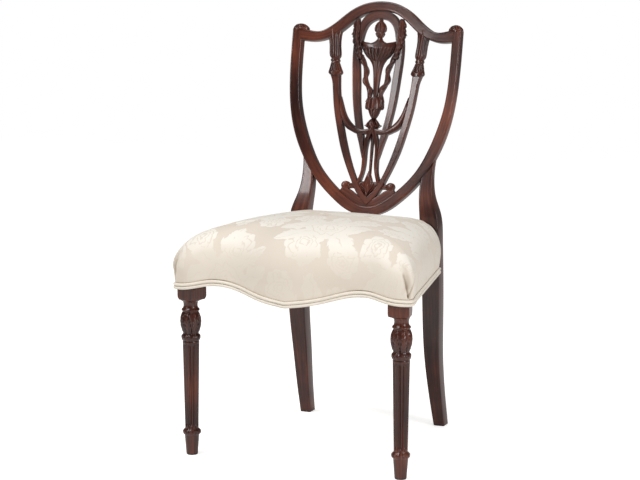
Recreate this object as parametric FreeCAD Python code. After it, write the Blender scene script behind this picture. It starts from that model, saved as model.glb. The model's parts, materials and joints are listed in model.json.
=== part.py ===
import FreeCAD, Part
import math
import os

# A shield back dining chair in mahogany with an upholstered seat, in millimetres.
# The origin is on the floor under the middle of the chair. The front is -Y and
# Z is up. Right and left are as one sees the chair from the front, right is +X.

os.makedirs("parts", exist_ok=True)
V = FreeCAD.Vector

# Seat plan, at the lower edge of the cover
seat_half_front = 271.4
seat_half_rear = 188.5
seat_side_front_y = -242.0     # where the corner round meets the side
bow = 34.0                     # how far the middle of the front edge lies before that
bow_end = (75.0, seat_side_front_y - 22.0)
wing_start = (seat_half_front - 81.4, seat_side_front_y - 16.0)
hollow = ((bow_end[0] + wing_start[0]) / 2 - 0.5, seat_side_front_y - 9.5)
wing = (seat_half_front - 45.4, seat_side_front_y - 23.0)
corner_start = (seat_half_front - 14.4, seat_side_front_y - 17.5)
corner = (seat_half_front - 3.1, seat_side_front_y - 11.5)
seat_front_y = seat_side_front_y - bow
seat_side_rear_y = 150.0       # where the side meets the rear post
seat_rear_y = 179.0            # behind the rear rail
seat_middle_y = -48.0

# Seat heights and thicknesses
rail_top_z = 434.0
rail_bottom_z = 369.0
rail_thickness = 24.0
front_rail_back_y = seat_side_front_y + 17.0
rear_rail_thickness = 22.0
front_dip = 22.0               # how far the middle of the front edge hangs down
front_lift = 9.5               # how far it rises between the middle and the corners
front_lift_x = 176.0
level_x = 112.0
cover_outset = 3.5             # cover's face beyond the rails
cover_thickness = 2.5
crown_z = 509.5
edge_z = 468.0                 # where the padded sides turn over to the top
side_swell = 0.03              # share by which the sides swell past the lower edge
welt_height = 6.0
welt_thickness = 3.2
web_width = 50.0
web_thickness = 1.6
web_inset = 5.0                # the webbing's ends, in from the rails' outer faces
lengthwise_webs = 4
lengthwise_spacing = 70.0
crosswise_webs = 5
crosswise_spacing = 65.0
crosswise_middle_y = -40.0
hessian_thickness = 1.2
hessian_inset = 3.0
dust_cover_thickness = 0.8
dust_cover_inset = 4.0
post_front_y = 148.0           # where the cover stops at the rear posts
post_clear_x = 145.5           # the cover's edge beside a post, at the rails
post_clear_top_x = 136.0       # and at the crown
soft_gap = 0.3

# Front legs
front_leg_x = seat_half_front - 28.9
front_leg_y = seat_side_front_y + 11.5
block_side = 45.0
block_bottom_z = 342.0
block_top_z = 430.0
foot_radius = 12.5
ankle_radius = 16.0
ankle_z = 44.0
collar_radius = 20.0
collar_top_z = 58.0
shaft_bottom_radius = 14.5
shaft_top_radius = 18.0
shaft_top_z = 252.0
upper_collar_radius = 21.0
urn_bottom_z = 268.0
urn_radius = 23.5
urn_z = 297.0
urn_top_z = 316.0
ring_radius = 19.5
ring_top_z = 323.0
neck_radius = 15.0
neck_z = 331.0
flute_count = 12
flute_radius = 3.2
flute_end = 7.0                # plain shaft left at each end of the flutes

# Back, drawn flat: u across, v up its slope, depth behind its front face
back_y = 163.2
back_z = 485.0
rake = 11.5
bow_radius = 900.0
frame_depth = 22.0
splat_recess = 3.5
splat_thickness = 17.0
stile_inner = 184.0
stile_outer = 205.5
stile_top_v = 424.0
lower_joint = (113.0, 84.5)    # middle of the joint between stile and lower rail
lower_joint_turn = 45.0
crest_joint_v = 413.0
ear_half = 17.5
ear_height = 16.5
relief = 3.5                   # carving in front of the splat's face
capital_foot_u = 99.5
capital_foot_v = 331.0
capital_top_v = 429.0
leaf_tip_v = 226.0
bud_tip_v = 104.0
spindle_half = 3.3
lobe_radius = 9.5
lobe_u = 54.8
lobe_v = 69.5
rim_half = 44.0
rim_v = 391.0
finial_radius = 13.5

# Joints and fixings
tenon_thickness = 10.0
tenon_length = 14.0
tenon_width = 13.0
splat_tenon = 7.0
splat_tenon_width = 9.0
splat_tenon_thickness = 8.0
rib_foot_u = 6.5
rib_foot_v = 36.0
capital_head_u = 109.0
capital_head_v = 414.0
seat_tenon_thickness = 11.0
seat_tenon_height = 46.0
seat_tenon_length = 18.0
glue_gap = 0.1
screw_radius = 2.2
screw_head_radius = 4.2
screw_head = 2.5
screw_length = 42.0
tack_radius = 1.0
tack_head_radius = 4.0
tack_head = 1.2
tack_length = 11.0
tack_spacing = 60.0
rear_tacks = 4
rear_tenon_length = 14.0
tenon_root = 4.0               # tenon left inside its own rail
corner_block_leg = 78.0
corner_block_blunt = 16.0      # thickness at the ends of its long face
corner_block_height = 40.0
corner_block_z = 381.0
corner_screw_sunk = 4.0        # the screw heads, below the corner blocks' long faces

splat_middle = splat_recess + splat_thickness / 2
splat_back = splat_recess + splat_thickness
seat_run = seat_side_rear_y - seat_side_front_y
side_slope = (seat_half_front - seat_half_rear) / seat_run
side_angle = math.degrees(math.atan(side_slope))


def edge(points):
    """A line through two points, or a smooth curve through more."""
    if len(points) == 2:
        return Part.makeLine(points[0], points[1])
    curve = Part.BSplineCurve()
    curve.interpolate(points)
    return curve.toShape()


def arc(start, middle, end):
    return Part.Arc(start, middle, end).toShape()


def upright(points):
    """Pairs (across, up) as points in the plane y = 0."""
    return [V(across, 0, up) for across, up in points]


def outline(*stretches):
    """A flat face in the plane y = 0, closed by the given stretches of pairs."""
    return Part.Face(Part.Wire([edge(upright(points)) for points in stretches]))


def polygon(points):
    """A flat face in the plane y = 0 with straight sides."""
    corners = upright(points)
    return Part.Face(Part.makePolygon(corners + corners[:1]))


def mirrored(points):
    """A right half, given from the middle outwards, completed to the left."""
    left = [(-across, up) for across, up in reversed(points) if across > 0]
    return left + list(points)


def between(first, second):
    """A face closed by two smooth edges that run the same way."""
    back = list(reversed(second))
    return outline(first, [first[-1], back[0]], back, [back[-1], first[0]])


def swelling(spans):
    """A face of (height, middle, half width) spans from bottom to top."""
    right = [(middle + half, up) for up, middle, half in spans]
    left = [(middle - half, up) for up, middle, half in spans]
    return polygon(right + left[::-1])


def slab(face, front=-60.0, back=60.0):
    """The upright face made solid from y = front to y = back."""
    solid = face.extrude(V(0, back - front, 0))
    solid.translate(V(0, front, 0))
    return solid


def plan(points, bottom, top):
    """A flat piece with straight sides, from its plan of (x, y) pairs."""
    corners = [V(x, y, bottom) for x, y in points]
    return Part.Face(Part.makePolygon(corners + corners[:1])).extrude(V(0, 0, top - bottom))


def layer(front, back):
    """The part of the bowed back from front to back behind its face."""
    half = math.radians(15.0)
    low, high = -60.0, 560.0
    rings = []
    for depth in (front, back):
        radius = bow_radius + depth
        rings.append([V(radius * math.sin(turn), radius * math.cos(turn) - bow_radius, low)
                      for turn in (-half, 0, half)])
    near, far = rings
    sides = [arc(*near), Part.makeLine(near[2], far[2])]
    sides += [arc(*reversed(far)), Part.makeLine(far[0], near[0])]
    return Part.Face(Part.Wire(sides)).extrude(V(0, 0, high - low))


def bowed(face, front, back):
    """A piece sawn to the outline and bent to the back's curve."""
    return slab(face).common(layer(front, back))


def carved(face):
    """A piece of the splat, in the splat's own thickness."""
    return bowed(face, splat_recess, splat_back)


def in_place(shape):
    """From the flat back to the chair."""
    moved = shape.copy()
    moved.rotate(V(0, 0, 0), V(1, 0, 0), -rake)
    moved.translate(V(0, back_y, back_z))
    return moved


def other_side(shape):
    return shape.mirror(V(0, 0, 0), V(1, 0, 0))


def turned(*stretches):
    """A round piece about the Z axis, from stretches of (radius, height) pairs."""
    sides = [arc(*upright(points)) if len(points) == 3 else edge(upright(points)) for points in stretches]
    bottom, top = stretches[0][0], stretches[-1][-1]
    sides += [edge(upright([top, (0, top[1])])), edge(upright([(0, top[1]), (0, bottom[1])]))]
    sides.append(edge(upright([(0, bottom[1]), bottom])))
    face = Part.Face(Part.Wire(Part.__sortEdges__(sides)))
    return face.revolve(V(0, 0, 0), V(0, 0, 1), 360)


def save(shape, name):
    shape = shape.removeSplitter()
    shape.exportStep("parts/" + name + ".step")
    print("%-28s solids %d  valid %s  cm3 %.2f" % (name, len(shape.Solids), shape.isValid(), shape.Volume / 1000))


def save_pair(right, name):
    """Saves a piece of the chair's right side and its mirror image."""
    save(right, name + "_right")
    save(other_side(right), name + "_left")


def tenon(start, turn, length, width, thickness, depth, slack=0.0):
    """A tenon in the flat back, from just inside its own piece outwards along turn."""
    root = 3.0
    box = Part.makeBox(root + length + slack, thickness + 2 * slack, width + 2 * slack,
                       V(-root, -thickness / 2 - slack, -width / 2 - slack))
    box.rotate(V(0, 0, 0), V(0, 1, 0), -turn)
    box.translate(V(start[0], depth - start[0] ** 2 / (2 * bow_radius), start[1]))
    return box


# Shield frame: one moulding's width all round
shield_outer = mirrored([(0, 2), (40, 10.5), (80, 36.5), (125, 80), (169, 150), (199, 250),
                         (stile_outer, 340), (stile_outer, stile_top_v)])
shield_inner = mirrored([(0, 23.5), (30, 32), (70, 59), (110, 98), (142, 150), (176, 250),
                         (stile_inner, 340), (stile_inner, stile_top_v)])
shield_area = slab(outline(shield_outer, [shield_outer[-1], shield_outer[0]]))
shield_opening = slab(outline(shield_inner, [shield_inner[-1], shield_inner[0]]))
shield_band = shield_area.cut(shield_opening).common(layer(0, frame_depth))

crest_top = mirrored([(0, 497), (40, 491), (80, 469), (110, 443.5), (135, 426), (155, 421.8),
                      (stile_inner, stile_top_v)])
crest_bottom = mirrored([(0, 475), (20, 474), (40, 467), (60, 454.5), (80, 437), (100, 421.5),
                         (120, 410.5), (150, 401.5), (stile_inner, 402)])
crest_face = between(crest_bottom, crest_top)
crest_region = slab(crest_face)
crest_rail = bowed(crest_face, 0, frame_depth)

# The lower rail meets each stile square to the moulding, with a tenon
above_joint = Part.makeBox(500, 200, 800, V(0, -100, -400))
above_joint.rotate(V(0, 0, 0), V(0, 1, 0), -lower_joint_turn)
above_joint.translate(V(lower_joint[0], 0, lower_joint[1]))
stile = shield_band.common(above_joint)
lower_rail = shield_band.cut(above_joint).cut(other_side(above_joint))
lower_rail = lower_rail.common(Part.makeBox(400, 200, 200, V(-200, -100, -50)))

frame_middle = frame_depth / 2
crest_joint = (stile_inner, crest_joint_v)
lower_tenon = tenon(lower_joint, lower_joint_turn, tenon_length, tenon_width, tenon_thickness, frame_middle)
lower_socket = tenon(lower_joint, lower_joint_turn, tenon_length, tenon_width, tenon_thickness,
                     frame_middle, glue_gap)
crest_tenon = tenon(crest_joint, 0, tenon_length, tenon_width, tenon_thickness, frame_middle)
crest_socket = tenon(crest_joint, 0, tenon_length, tenon_width, tenon_thickness, frame_middle, glue_gap)
lower_rail = lower_rail.fuse(lower_tenon).fuse(other_side(lower_tenon))
crest_rail = crest_rail.fuse(crest_tenon).fuse(other_side(crest_tenon))
stile = stile.cut(lower_socket).cut(crest_socket)

ear_middle = (stile_inner + stile_outer) / 2 - 5
ear_low = upright([(ear_middle - ear_half, stile_top_v), (ear_middle + ear_half, stile_top_v)])
ear_crown = V(ear_middle, 0, stile_top_v + ear_height)
ear_face = Part.Face(Part.Wire([arc(ear_low[0], ear_crown, ear_low[1]), edge([ear_low[1], ear_low[0]])]))
ear_cap = bowed(ear_face, -1, frame_depth + 1).cut(crest_region)

# Rear leg below the shield: the front view and the side view cross
leg_outside = [(181.5, 0), (181.5, 70), (182.5, 170), (186, 260), (186.5, 350), (184.5, 440),
               (178, 500), (165, 535), (159.5, 570), (162, 615)]
leg_inside = [(155.7, 0), (150, 97), (146.5, 175), (146.3, 263), (145.5, 330), (143, 400),
              (139, 475), (134, 520), (131.5, 560), (131.5, 600)]
leg_front = [(209.6, 0), (189, 69), (166.5, 170), (153.5, 260), (150, 330), (149, 400),
             (149.5, 450), (153, 498), (165, 551), (174, 583), (182, 615)]
leg_back = [(239.6, 0), (220, 69), (199, 170), (187.5, 260), (184.5, 330), (184, 400),
            (184, 450), (186, 498), (190.5, 551), (194, 583), (198, 615)]
front_view = slab(between(leg_inside, leg_outside), 100, 300)
side_view = slab(between(leg_front, leg_back), -250, -100)
side_view.rotate(V(0, 0, 0), V(0, 0, 1), 90)
rear_leg = front_view.common(side_view).cut(in_place(shield_area))
rear_post = rear_leg.fuse(in_place(stile))

# Outer ribs of the splat, which meet in a V on the lower rail
rib_outside = [(0, 26), (14, 40), (27, 55), (40, 79), (50, 100), (71, 150), (85.5, 200), (97, 250),
               (104, 300), (capital_foot_u + 8.5, capital_foot_v)]
rib_inside = [(0, 45), (10, 56), (17, 65), (27, 80), (37, 100), (56, 150), (70.5, 200), (81, 250),
              (88.5, 300), (capital_foot_u - 8.5, capital_foot_v)]
rib_face = between(rib_inside, rib_outside)
rib_region = slab(rib_face)
ribs_region = rib_region.fuse(other_side(rib_region))
splat_rib = carved(rib_face).common(shield_opening)

# Vase capitals between the ribs and the crest rail
capital_face = swelling([(capital_foot_v, capital_foot_u, 9), (capital_foot_v + 3, 100.8, 16.5),
                         (capital_foot_v + 8, 101, 16.5), (capital_foot_v + 15, 102.2, 11.7),
                         (capital_foot_v + 23, 103.3, 9.6), (capital_foot_v + 27, 103.6, 11),
                         (capital_foot_v + 32, 103.8, 11), (capital_foot_v + 40, 104.3, 11.6),
                         (capital_foot_v + 60, 106.2, 12.2), (capital_foot_v + 80, 108.5, 14.5),
                         (capital_top_v, 110, 16.8)])
capital = bowed(capital_face, 0, splat_back + 1).cut(crest_region)

# Swags: a garland from each rib to the knot in the middle
swag_top = [(0, 205), (10, 203), (20, 201), (30, 201.5), (40, 205.5), (50, 212), (60, 222), (70, 238),
            (79, 262), (84, 276)]
swag_foot = [(0, 191), (10, 190.5), (20, 189), (30, 188.5), (40, 190.5), (50, 195), (60, 200), (68, 208),
             (76, 224), (80, 234)]
swag_region = slab(between(swag_foot, swag_top)).cut(rib_region)

# Stems below the knot and the pointed hoop above it, half lapped behind the swags
stem_inside = [(19, 83), (14, 100), (11, 120), (10.5, 150), (8, 173), (2, 192)]
stem_outside = [(28, 82), (21.5, 100), (19.5, 120), (19.5, 150), (17, 173), (10, 194)]
stem_region = slab(between(stem_inside, stem_outside)).cut(rib_region).cut(swag_region)
stem = stem_region.common(layer(splat_recess, splat_back))

hoop_outside = mirrored([(0, 477), (22, 473), (40, 460), (52, 437), (59, 411), (61.5, 385), (61, 360),
                         (58, 321), (53, 270), (44, 219), (37, 190), (31, 172), (25, 152), (20, 134)])
hoop_inside = mirrored([(0, 457), (20, 451), (31, 441), (38, 425), (42, 405), (45.5, 380), (45, 360),
                        (41, 321), (37, 270), (29, 219), (23, 193), (20, 178), (19, 160), (18, 134)])
hoop_foot = [hoop_inside[0], hoop_outside[0]]
hoop_face = outline(hoop_outside, [hoop_outside[-1], hoop_inside[-1]], hoop_inside[::-1], hoop_foot)
front_half = layer(splat_recess - relief, splat_middle)
lap = swag_region.fuse(other_side(swag_region)).common(front_half)
hoop_region = slab(hoop_face).cut(crest_region).cut(stem_region).cut(other_side(stem_region))
hoop = hoop_region.common(layer(splat_recess, splat_back)).cut(lap)
swag = swag_region.common(layer(splat_recess - relief / 2, splat_back)).cut(hoop)

# Leaf over the knot, spindle and bud below it, and the scrolls beside the V
leaf_face = swelling([(198, 0, 9), (207, 0, 11), (210, 0, 19), (214, 0, 16), (221, 0, 8), (leaf_tip_v, 0, 2.5)])
knot_leaf = bowed(leaf_face, splat_recess - relief, splat_back).cut(swag_region).cut(other_side(swag_region))

bud_face = swelling([(46, 0, 2), (56, 0, 12), (66, 0, 20), (72, 0, 23), (76, 0, 17), (84, 0, 11.5),
                     (92, 0, 8), (100, 0, 5), (bud_tip_v, 0, 2)])
bud = carved(bud_face).cut(ribs_region).cut(stem_region).cut(other_side(stem_region))
spindle = slab(polygon([(-spindle_half, bud_tip_v), (spindle_half, bud_tip_v), (spindle_half, 200),
                        (-spindle_half, 200)]))
spindle = spindle.common(layer(splat_middle - spindle_half, splat_middle + spindle_half))
spindle = spindle.cut(swag_region).cut(other_side(swag_region)).cut(stem_region).cut(other_side(stem_region))

lobe = Part.Face(Part.Wire(Part.makeCircle(lobe_radius, V(lobe_u, 0, lobe_v), V(0, 1, 0))))
mound_face = polygon([(0, 20), (66, 40), (63, 57), (50, 62), (46, 73), (34, 73), (20, 50), (0, 30)])
pierced = polygon([(22, 51.5), (30, 50.5), (37, 57), (31, 61), (26, 58)])
scroll = slab(mound_face).fuse(slab(lobe, -60, 60)).cut(slab(pierced)).common(shield_opening).cut(rib_region)
scroll = scroll.common(Part.makeBox(200, 200, 200, V(0.0, -100, -50)))
scroll_bracket = scroll.common(layer(splat_recess + 1.5, splat_back - 1.5))

# Urn inside the hoop, from its finial down to the leaf cup and drop
urn_bowl_face = between([(-rim_half, rim_v), (-26, 376), (-10, 362), (0, 360), (10, 362), (26, 376),
                         (rim_half, rim_v)],
                        [(-rim_half, rim_v + 6), (-20, rim_v + 1), (0, rim_v), (20, rim_v + 1),
                         (rim_half, rim_v + 6)])
lid_face = between([(-rim_half, rim_v + 6), (-20, rim_v + 1), (0, rim_v), (20, rim_v + 1),
                    (rim_half, rim_v + 6)],
                   [(-rim_half, rim_v + 16), (-24, rim_v + 10), (-12, rim_v + 12.5), (-5.5, rim_v + 19),
                    (5.5, rim_v + 19), (12, rim_v + 12.5), (24, rim_v + 10), (rim_half, rim_v + 16)])
stem_top_v = 366.0
cup_top_v = 268.0
cup_foot_v = 249.5
urn_stem_face = swelling([(cup_top_v, 0, 5), (290, 0, 6.2), (312, 0, 7.5), (336, 0, 10), (352, 0, 14),
                          (360, 0, 18), (stem_top_v + 2, 0, 21)])
cup_face = swelling([(cup_foot_v, 0, 20), (256, 0, 21.5), (262, 0, 20), (cup_top_v, 0, 12)])
husk_face = outline([(51, 452), (47.5, 438), (46, 425), (44, 410), (43, 398), (41, 385), (41, 370), (40, 352),
                     (43, 344)],
                    [(43, 344), (49, 350), (52, 365), (57, 380), (58.5, 395), (61, 407), (62, 419)],
                    [(62, 419), (66, 420), (61, 430), (58, 452)], [(58, 452), (51, 452)])
husk_region = slab(husk_face).cut(crest_region)
husk_chain = husk_region.common(layer(splat_recess - relief, splat_middle)).cut(hoop)
urn_bowl = bowed(urn_bowl_face, splat_recess - 2, splat_back).cut(hoop_region)
urn_bowl = urn_bowl.cut(husk_region).cut(other_side(husk_region))
urn_lid = bowed(lid_face, splat_recess, splat_back).cut(hoop_region)
urn_lid = urn_lid.cut(husk_region).cut(other_side(husk_region))
urn_stem = carved(urn_stem_face).cut(slab(urn_bowl_face))
leaf_cup = bowed(cup_face, splat_recess - 2, splat_back)
finial_foot_v = rim_v + 19
urn_finial = turned([(5.5, finial_foot_v), (5.5, finial_foot_v + 3)],
                    [(5.5, finial_foot_v + 3), (finial_radius, 435), (4.5, 451)], [(4.5, 451), (4.5, 470)])
urn_finial.translate(V(0, splat_middle, 0))
urn_finial = urn_finial.cut(hoop_region)
urn_lid = urn_lid.cut(urn_finial)
urn_drop = turned([(2.6, leaf_tip_v), (3, leaf_tip_v + 4)], [(3, leaf_tip_v + 4), (7.5, 240), (11, cup_foot_v)])
urn_drop.translate(V(0, splat_middle, 0))

# Ribbons that hang in folds from the husks to the leaf cup
ribbon_inside = [(37, 374), (29, 356), (22.5, 343), (21.5, 331), (23, 318), (18.5, 307), (12, 299),
                 (9, 290), (9.5, 280), (11.5, 266)]
ribbon_outside = [(48, 372), (41, 354), (33, 342), (31, 331), (33.5, 318), (30, 306), (22.5, 296),
                  (18.5, 287), (19, 278), (21.5, 266)]
ribbon_region = slab(between(ribbon_inside, ribbon_outside))
ribbon = ribbon_region.common(layer(splat_recess + 2, splat_middle + 3)).cut(husk_region).cut(hoop_region)
ribbon = ribbon.cut(slab(cup_face)).cut(slab(urn_bowl_face))


# The splat's tenons: rib feet into the lower rail, ribs into capitals, capitals and hoop into the crest
def splat_tenons(slack=0.0):
    """The right side's splat tenons and the hoop's, each grown by slack."""
    foot = shield_inner[len(shield_inner) // 2][1]
    foot_length = rib_foot_v - foot + splat_tenon
    return {
        "rib_foot": tenon((rib_foot_u, rib_foot_v), -90, foot_length, splat_tenon_width, splat_tenon_thickness,
                          splat_middle, slack),
        "rib_head": tenon((capital_foot_u, capital_foot_v), 90, splat_tenon, splat_tenon_width,
                          splat_tenon_thickness, splat_middle, slack),
        "capital": tenon((capital_head_u, capital_head_v), 90, splat_tenon, 2 * splat_tenon_width,
                         splat_tenon_thickness, splat_middle, slack),
        "hoop": tenon((0, crest_bottom[len(crest_bottom) // 2][1]), 90, splat_tenon, 2 * splat_tenon_width,
                      splat_tenon_thickness, splat_middle, slack),
    }


tongues = splat_tenons()
sockets = splat_tenons(glue_gap)
both_feet = sockets["rib_foot"].fuse(other_side(sockets["rib_foot"]))
splat_rib = splat_rib.fuse(tongues["rib_foot"]).fuse(tongues["rib_head"])
capital = capital.fuse(tongues["capital"]).cut(sockets["rib_head"])
hoop = hoop.fuse(tongues["hoop"])
lower_rail = lower_rail.cut(both_feet)
scroll_bracket = scroll_bracket.cut(both_feet)
crest_rail = crest_rail.cut(sockets["capital"]).cut(other_side(sockets["capital"])).cut(sockets["hoop"])


# Seat plan: bowed in the middle, hollow each side, with turned-out corners
def seat_wire(z, scale=1.0):
    """The seat's edge at height z, scaled about the seat's middle."""
    def at(point, side=1):
        return V(side * point[0] * scale, seat_middle_y + (point[1] - seat_middle_y) * scale, z)

    rear_x = seat_half_rear - side_slope * (seat_rear_y - seat_side_rear_y)
    side_front, side_rear = (seat_half_front, seat_side_front_y), (rear_x, seat_rear_y)
    right = [arc(at(bow_end), at(hollow), at(wing_start)), arc(at(wing_start), at(wing), at(corner_start)),
             arc(at(corner_start), at(corner), at(side_front)), Part.makeLine(at(side_front), at(side_rear))]
    left = [Part.makeLine(at(side_rear, -1), at(side_front, -1)),
            arc(at(side_front, -1), at(corner, -1), at(corner_start, -1)),
            arc(at(corner_start, -1), at(wing, -1), at(wing_start, -1)),
            arc(at(wing_start, -1), at(hollow, -1), at(bow_end, -1))]
    bow = arc(at(bow_end, -1), at((0, seat_front_y)), at(bow_end))
    return Part.Wire([bow] + right + [Part.makeLine(at(side_rear), at(side_rear, -1))] + left)


def seat_prism(bottom, top, outset=0.0):
    """The seat's plan made solid, its edge moved out by outset."""
    half_depth = (seat_rear_y - seat_front_y) / 2
    face = Part.Face(seat_wire(bottom, 1 + outset / half_depth))
    return face.extrude(V(0, 0, top - bottom))


def side_x(y, inset):
    """How far the right side's line, moved in by inset, is from the middle at y."""
    return seat_half_front - side_slope * (y - seat_side_front_y) - inset / math.cos(math.radians(side_angle))


# Front legs: a square block turned to the side rail, over an urn and a fluted shaft
foot = turned([(foot_radius, 0), (ankle_radius, ankle_z)],
              [(ankle_radius, ankle_z), (collar_radius, (ankle_z + collar_top_z) / 2),
               (shaft_bottom_radius, collar_top_z)],
              [(shaft_bottom_radius, collar_top_z), (shaft_top_radius, shaft_top_z)],
              [(shaft_top_radius, shaft_top_z), (upper_collar_radius, (shaft_top_z + urn_bottom_z) / 2),
               (shaft_top_radius, urn_bottom_z)],
              [(shaft_top_radius, urn_bottom_z), (urn_radius, urn_z), (neck_radius + 2, urn_top_z)],
              [(neck_radius + 2, urn_top_z), (ring_radius, (urn_top_z + ring_top_z) / 2),
               (neck_radius + 2, ring_top_z)],
              [(neck_radius + 2, ring_top_z), (neck_radius, neck_z), (neck_radius + 2.5, block_bottom_z)])
flute_lean = math.degrees(math.atan((shaft_top_radius - shaft_bottom_radius) / (shaft_top_z - collar_top_z)))
flute_length = shaft_top_z - collar_top_z - 2 * flute_end
flute_seat = flute_radius * 0.55
for count in range(flute_count):
    flute = Part.makeCylinder(flute_radius, flute_length)
    flute = flute.fuse(Part.makeSphere(flute_radius, V(0, 0, flute_length))).fuse(Part.makeSphere(flute_radius))
    flute.rotate(V(0, 0, 0), V(0, 1, 0), flute_lean)
    flute.translate(V(shaft_bottom_radius + flute_seat, 0, collar_top_z + flute_end))
    flute.rotate(V(0, 0, 0), V(0, 0, 1), 360.0 * count / flute_count)
    foot = foot.cut(flute)
block = Part.makeBox(block_side, block_side, block_top_z - block_bottom_z,
                     V(-block_side / 2, -block_side / 2, block_bottom_z))
front_leg = foot.fuse(block)
front_leg.rotate(V(0, 0, 0), V(0, 0, 1), side_angle)
front_leg.translate(V(front_leg_x, front_leg_y, 0))
front_block = block.copy()
front_block.rotate(V(0, 0, 0), V(0, 0, 1), side_angle)
front_block.translate(V(front_leg_x, front_leg_y, 0))
under_cover = Part.makeBox(600, 600, 200, V(-100, -400, rail_bottom_z - 1))
under_cover = under_cover.cut(seat_prism(rail_bottom_z - 100, block_top_z + 10, -cover_outset))
front_leg = front_leg.cut(under_cover)
front_block = front_block.cut(under_cover)

# Lower edge of the cover: level at the sides, waved along the front
front_edge = mirrored([(0, rail_bottom_z - front_dip), (bow_end[0], rail_bottom_z - 0.45 * front_dip),
                       (level_x, rail_bottom_z), (front_lift_x, rail_bottom_z + front_lift),
                       (seat_half_front - 38, rail_bottom_z), (seat_half_front + 30, rail_bottom_z - 1)])


def under_edge(rise):
    """Everything under the cover's lower edge, raised by rise."""
    wave = [(across, up + rise) for across, up in front_edge]
    low = rail_bottom_z - 100
    ends = [(wave[-1][0], low), (wave[0][0], low)]
    front = slab(outline(wave, [wave[-1], ends[0]], ends, [ends[1], wave[0]]), seat_front_y - 40, front_rail_back_y)
    rest = Part.makeBox(800, 600, rail_bottom_z + rise - low, V(-400, front_rail_back_y, low))
    return front.fuse(rest)


# Seat rails, tenoned into the blocks and the rear posts
rail_ring = seat_prism(rail_bottom_z - 60, rail_top_z, -cover_outset)
front_reach = front_leg_x - block_side / 2
front_rail = rail_ring.common(Part.makeBox(2 * front_reach, 200, 300,
                                           V(-front_reach, front_rail_back_y - 200, rail_bottom_z - 100)))
front_rail = front_rail.cut(under_edge(1.0)).cut(front_block).cut(other_side(front_block))

side_front = front_leg_y
side_rear = seat_side_rear_y + 25
inner_inset = cover_outset + rail_thickness
side_rail = plan([(side_x(side_front, cover_outset), side_front), (side_x(side_rear, cover_outset), side_rear),
                  (side_x(side_rear, inner_inset), side_rear), (side_x(side_front, inner_inset), side_front)],
                 rail_bottom_z + 1, rail_top_z)
post_front_side = Part.makeBox(400, 200, 200, V(0, seat_side_rear_y + 6, rail_bottom_z - 50))
side_rail = side_rail.cut(front_block).cut(post_front_side).cut(rear_post)

rear_rail_back_y = seat_rear_y - cover_outset
rear_rail = Part.makeBox(2 * 150, rear_rail_thickness, rail_top_z - rail_bottom_z - 1,
                         V(-150, rear_rail_back_y - rear_rail_thickness, rail_bottom_z + 1))
rear_rail = rear_rail.cut(rear_post).cut(other_side(rear_post))


def seat_tenon(start, direction, length, slack=0.0):
    """A rail's tenon in plan, from inside the rail outwards along direction in degrees."""
    box = Part.makeBox(tenon_root + length + slack, seat_tenon_thickness + 2 * slack,
                       seat_tenon_height + 2 * slack,
                       V(-tenon_root, -seat_tenon_thickness / 2 - slack, -seat_tenon_height / 2 - slack))
    box.rotate(V(0, 0, 0), V(0, 0, 1), direction)
    box.translate(V(start[0], start[1], (rail_bottom_z + rail_top_z) / 2 + 1))
    return box


rail_middle = cover_outset + rail_thickness / 2
block_rear_y = front_leg_y + block_side / 2
front_tenon_y = front_rail_back_y - rail_thickness / 2
block_inner_x = front_leg_x - block_side / 2
tenons = {
    "front": ((block_inner_x, front_tenon_y), 0, seat_tenon_length),
    "side_front": ((side_x(block_rear_y, rail_middle), block_rear_y), 270 + side_angle, seat_tenon_length),
    "side_rear": ((side_x(seat_side_rear_y, rail_middle), seat_side_rear_y), 90 + side_angle, seat_tenon_length),
    "rear": ((post_clear_x, rear_rail_back_y - rear_rail_thickness / 2), 0, rear_tenon_length),
}
front_tenon = seat_tenon(*tenons["front"])
side_front_tenon = seat_tenon(*tenons["side_front"])
side_rear_tenon = seat_tenon(*tenons["side_rear"])
rear_tenon = seat_tenon(*tenons["rear"])
front_rail = front_rail.fuse(front_tenon).fuse(other_side(front_tenon))
side_rail = side_rail.fuse(side_front_tenon).fuse(side_rear_tenon)
rear_rail = rear_rail.fuse(rear_tenon).fuse(other_side(rear_tenon))
for name in ("front", "side_front"):
    front_leg = front_leg.cut(seat_tenon(*tenons[name], glue_gap))
for name in ("side_rear", "rear"):
    rear_post = rear_post.cut(seat_tenon(*tenons[name], glue_gap))

# Corner blocks, glued and screwed inside the four corners
block_low = corner_block_z
block_high = block_low + corner_block_height
leg = corner_block_leg
front_inner_x = side_x(front_rail_back_y, inner_inset)
rear_inner_y = rear_rail_back_y - rear_rail_thickness
rear_inner_x = side_x(rear_inner_y, inner_inset)
front_corner_block = plan([(front_inner_x, front_rail_back_y),
                           (side_x(front_rail_back_y + leg, inner_inset), front_rail_back_y + leg),
                           (side_x(front_rail_back_y + leg, inner_inset) - corner_block_blunt, front_rail_back_y + leg),
                           (front_inner_x - leg, front_rail_back_y + corner_block_blunt),
                           (front_inner_x - leg, front_rail_back_y)], block_low, block_high)
front_corner_block = front_corner_block.cut(front_leg)
rear_corner_block = plan([(rear_inner_x, rear_inner_y),
                          (side_x(rear_inner_y - leg, inner_inset), rear_inner_y - leg),
                          (side_x(rear_inner_y - leg, inner_inset) - corner_block_blunt, rear_inner_y - leg),
                          (rear_inner_x - leg, rear_inner_y - corner_block_blunt),
                          (rear_inner_x - leg, rear_inner_y)], block_low, block_high)
rear_corner_block = rear_corner_block.cut(rear_post)


def screw(head, direction):
    """A countersunk wood screw from its head's face along direction in degrees in plan."""
    shank = Part.makeCylinder(screw_radius, screw_length, V(0, 0, 0), V(1, 0, 0))
    cap = Part.makeCone(screw_head_radius, screw_radius, screw_head, V(0, 0, 0), V(1, 0, 0))
    body = shank.fuse(cap)
    body.rotate(V(0, 0, 0), V(0, 0, 1), direction)
    body.translate(V(head[0], head[1], (block_low + block_high) / 2))
    return body


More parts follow.
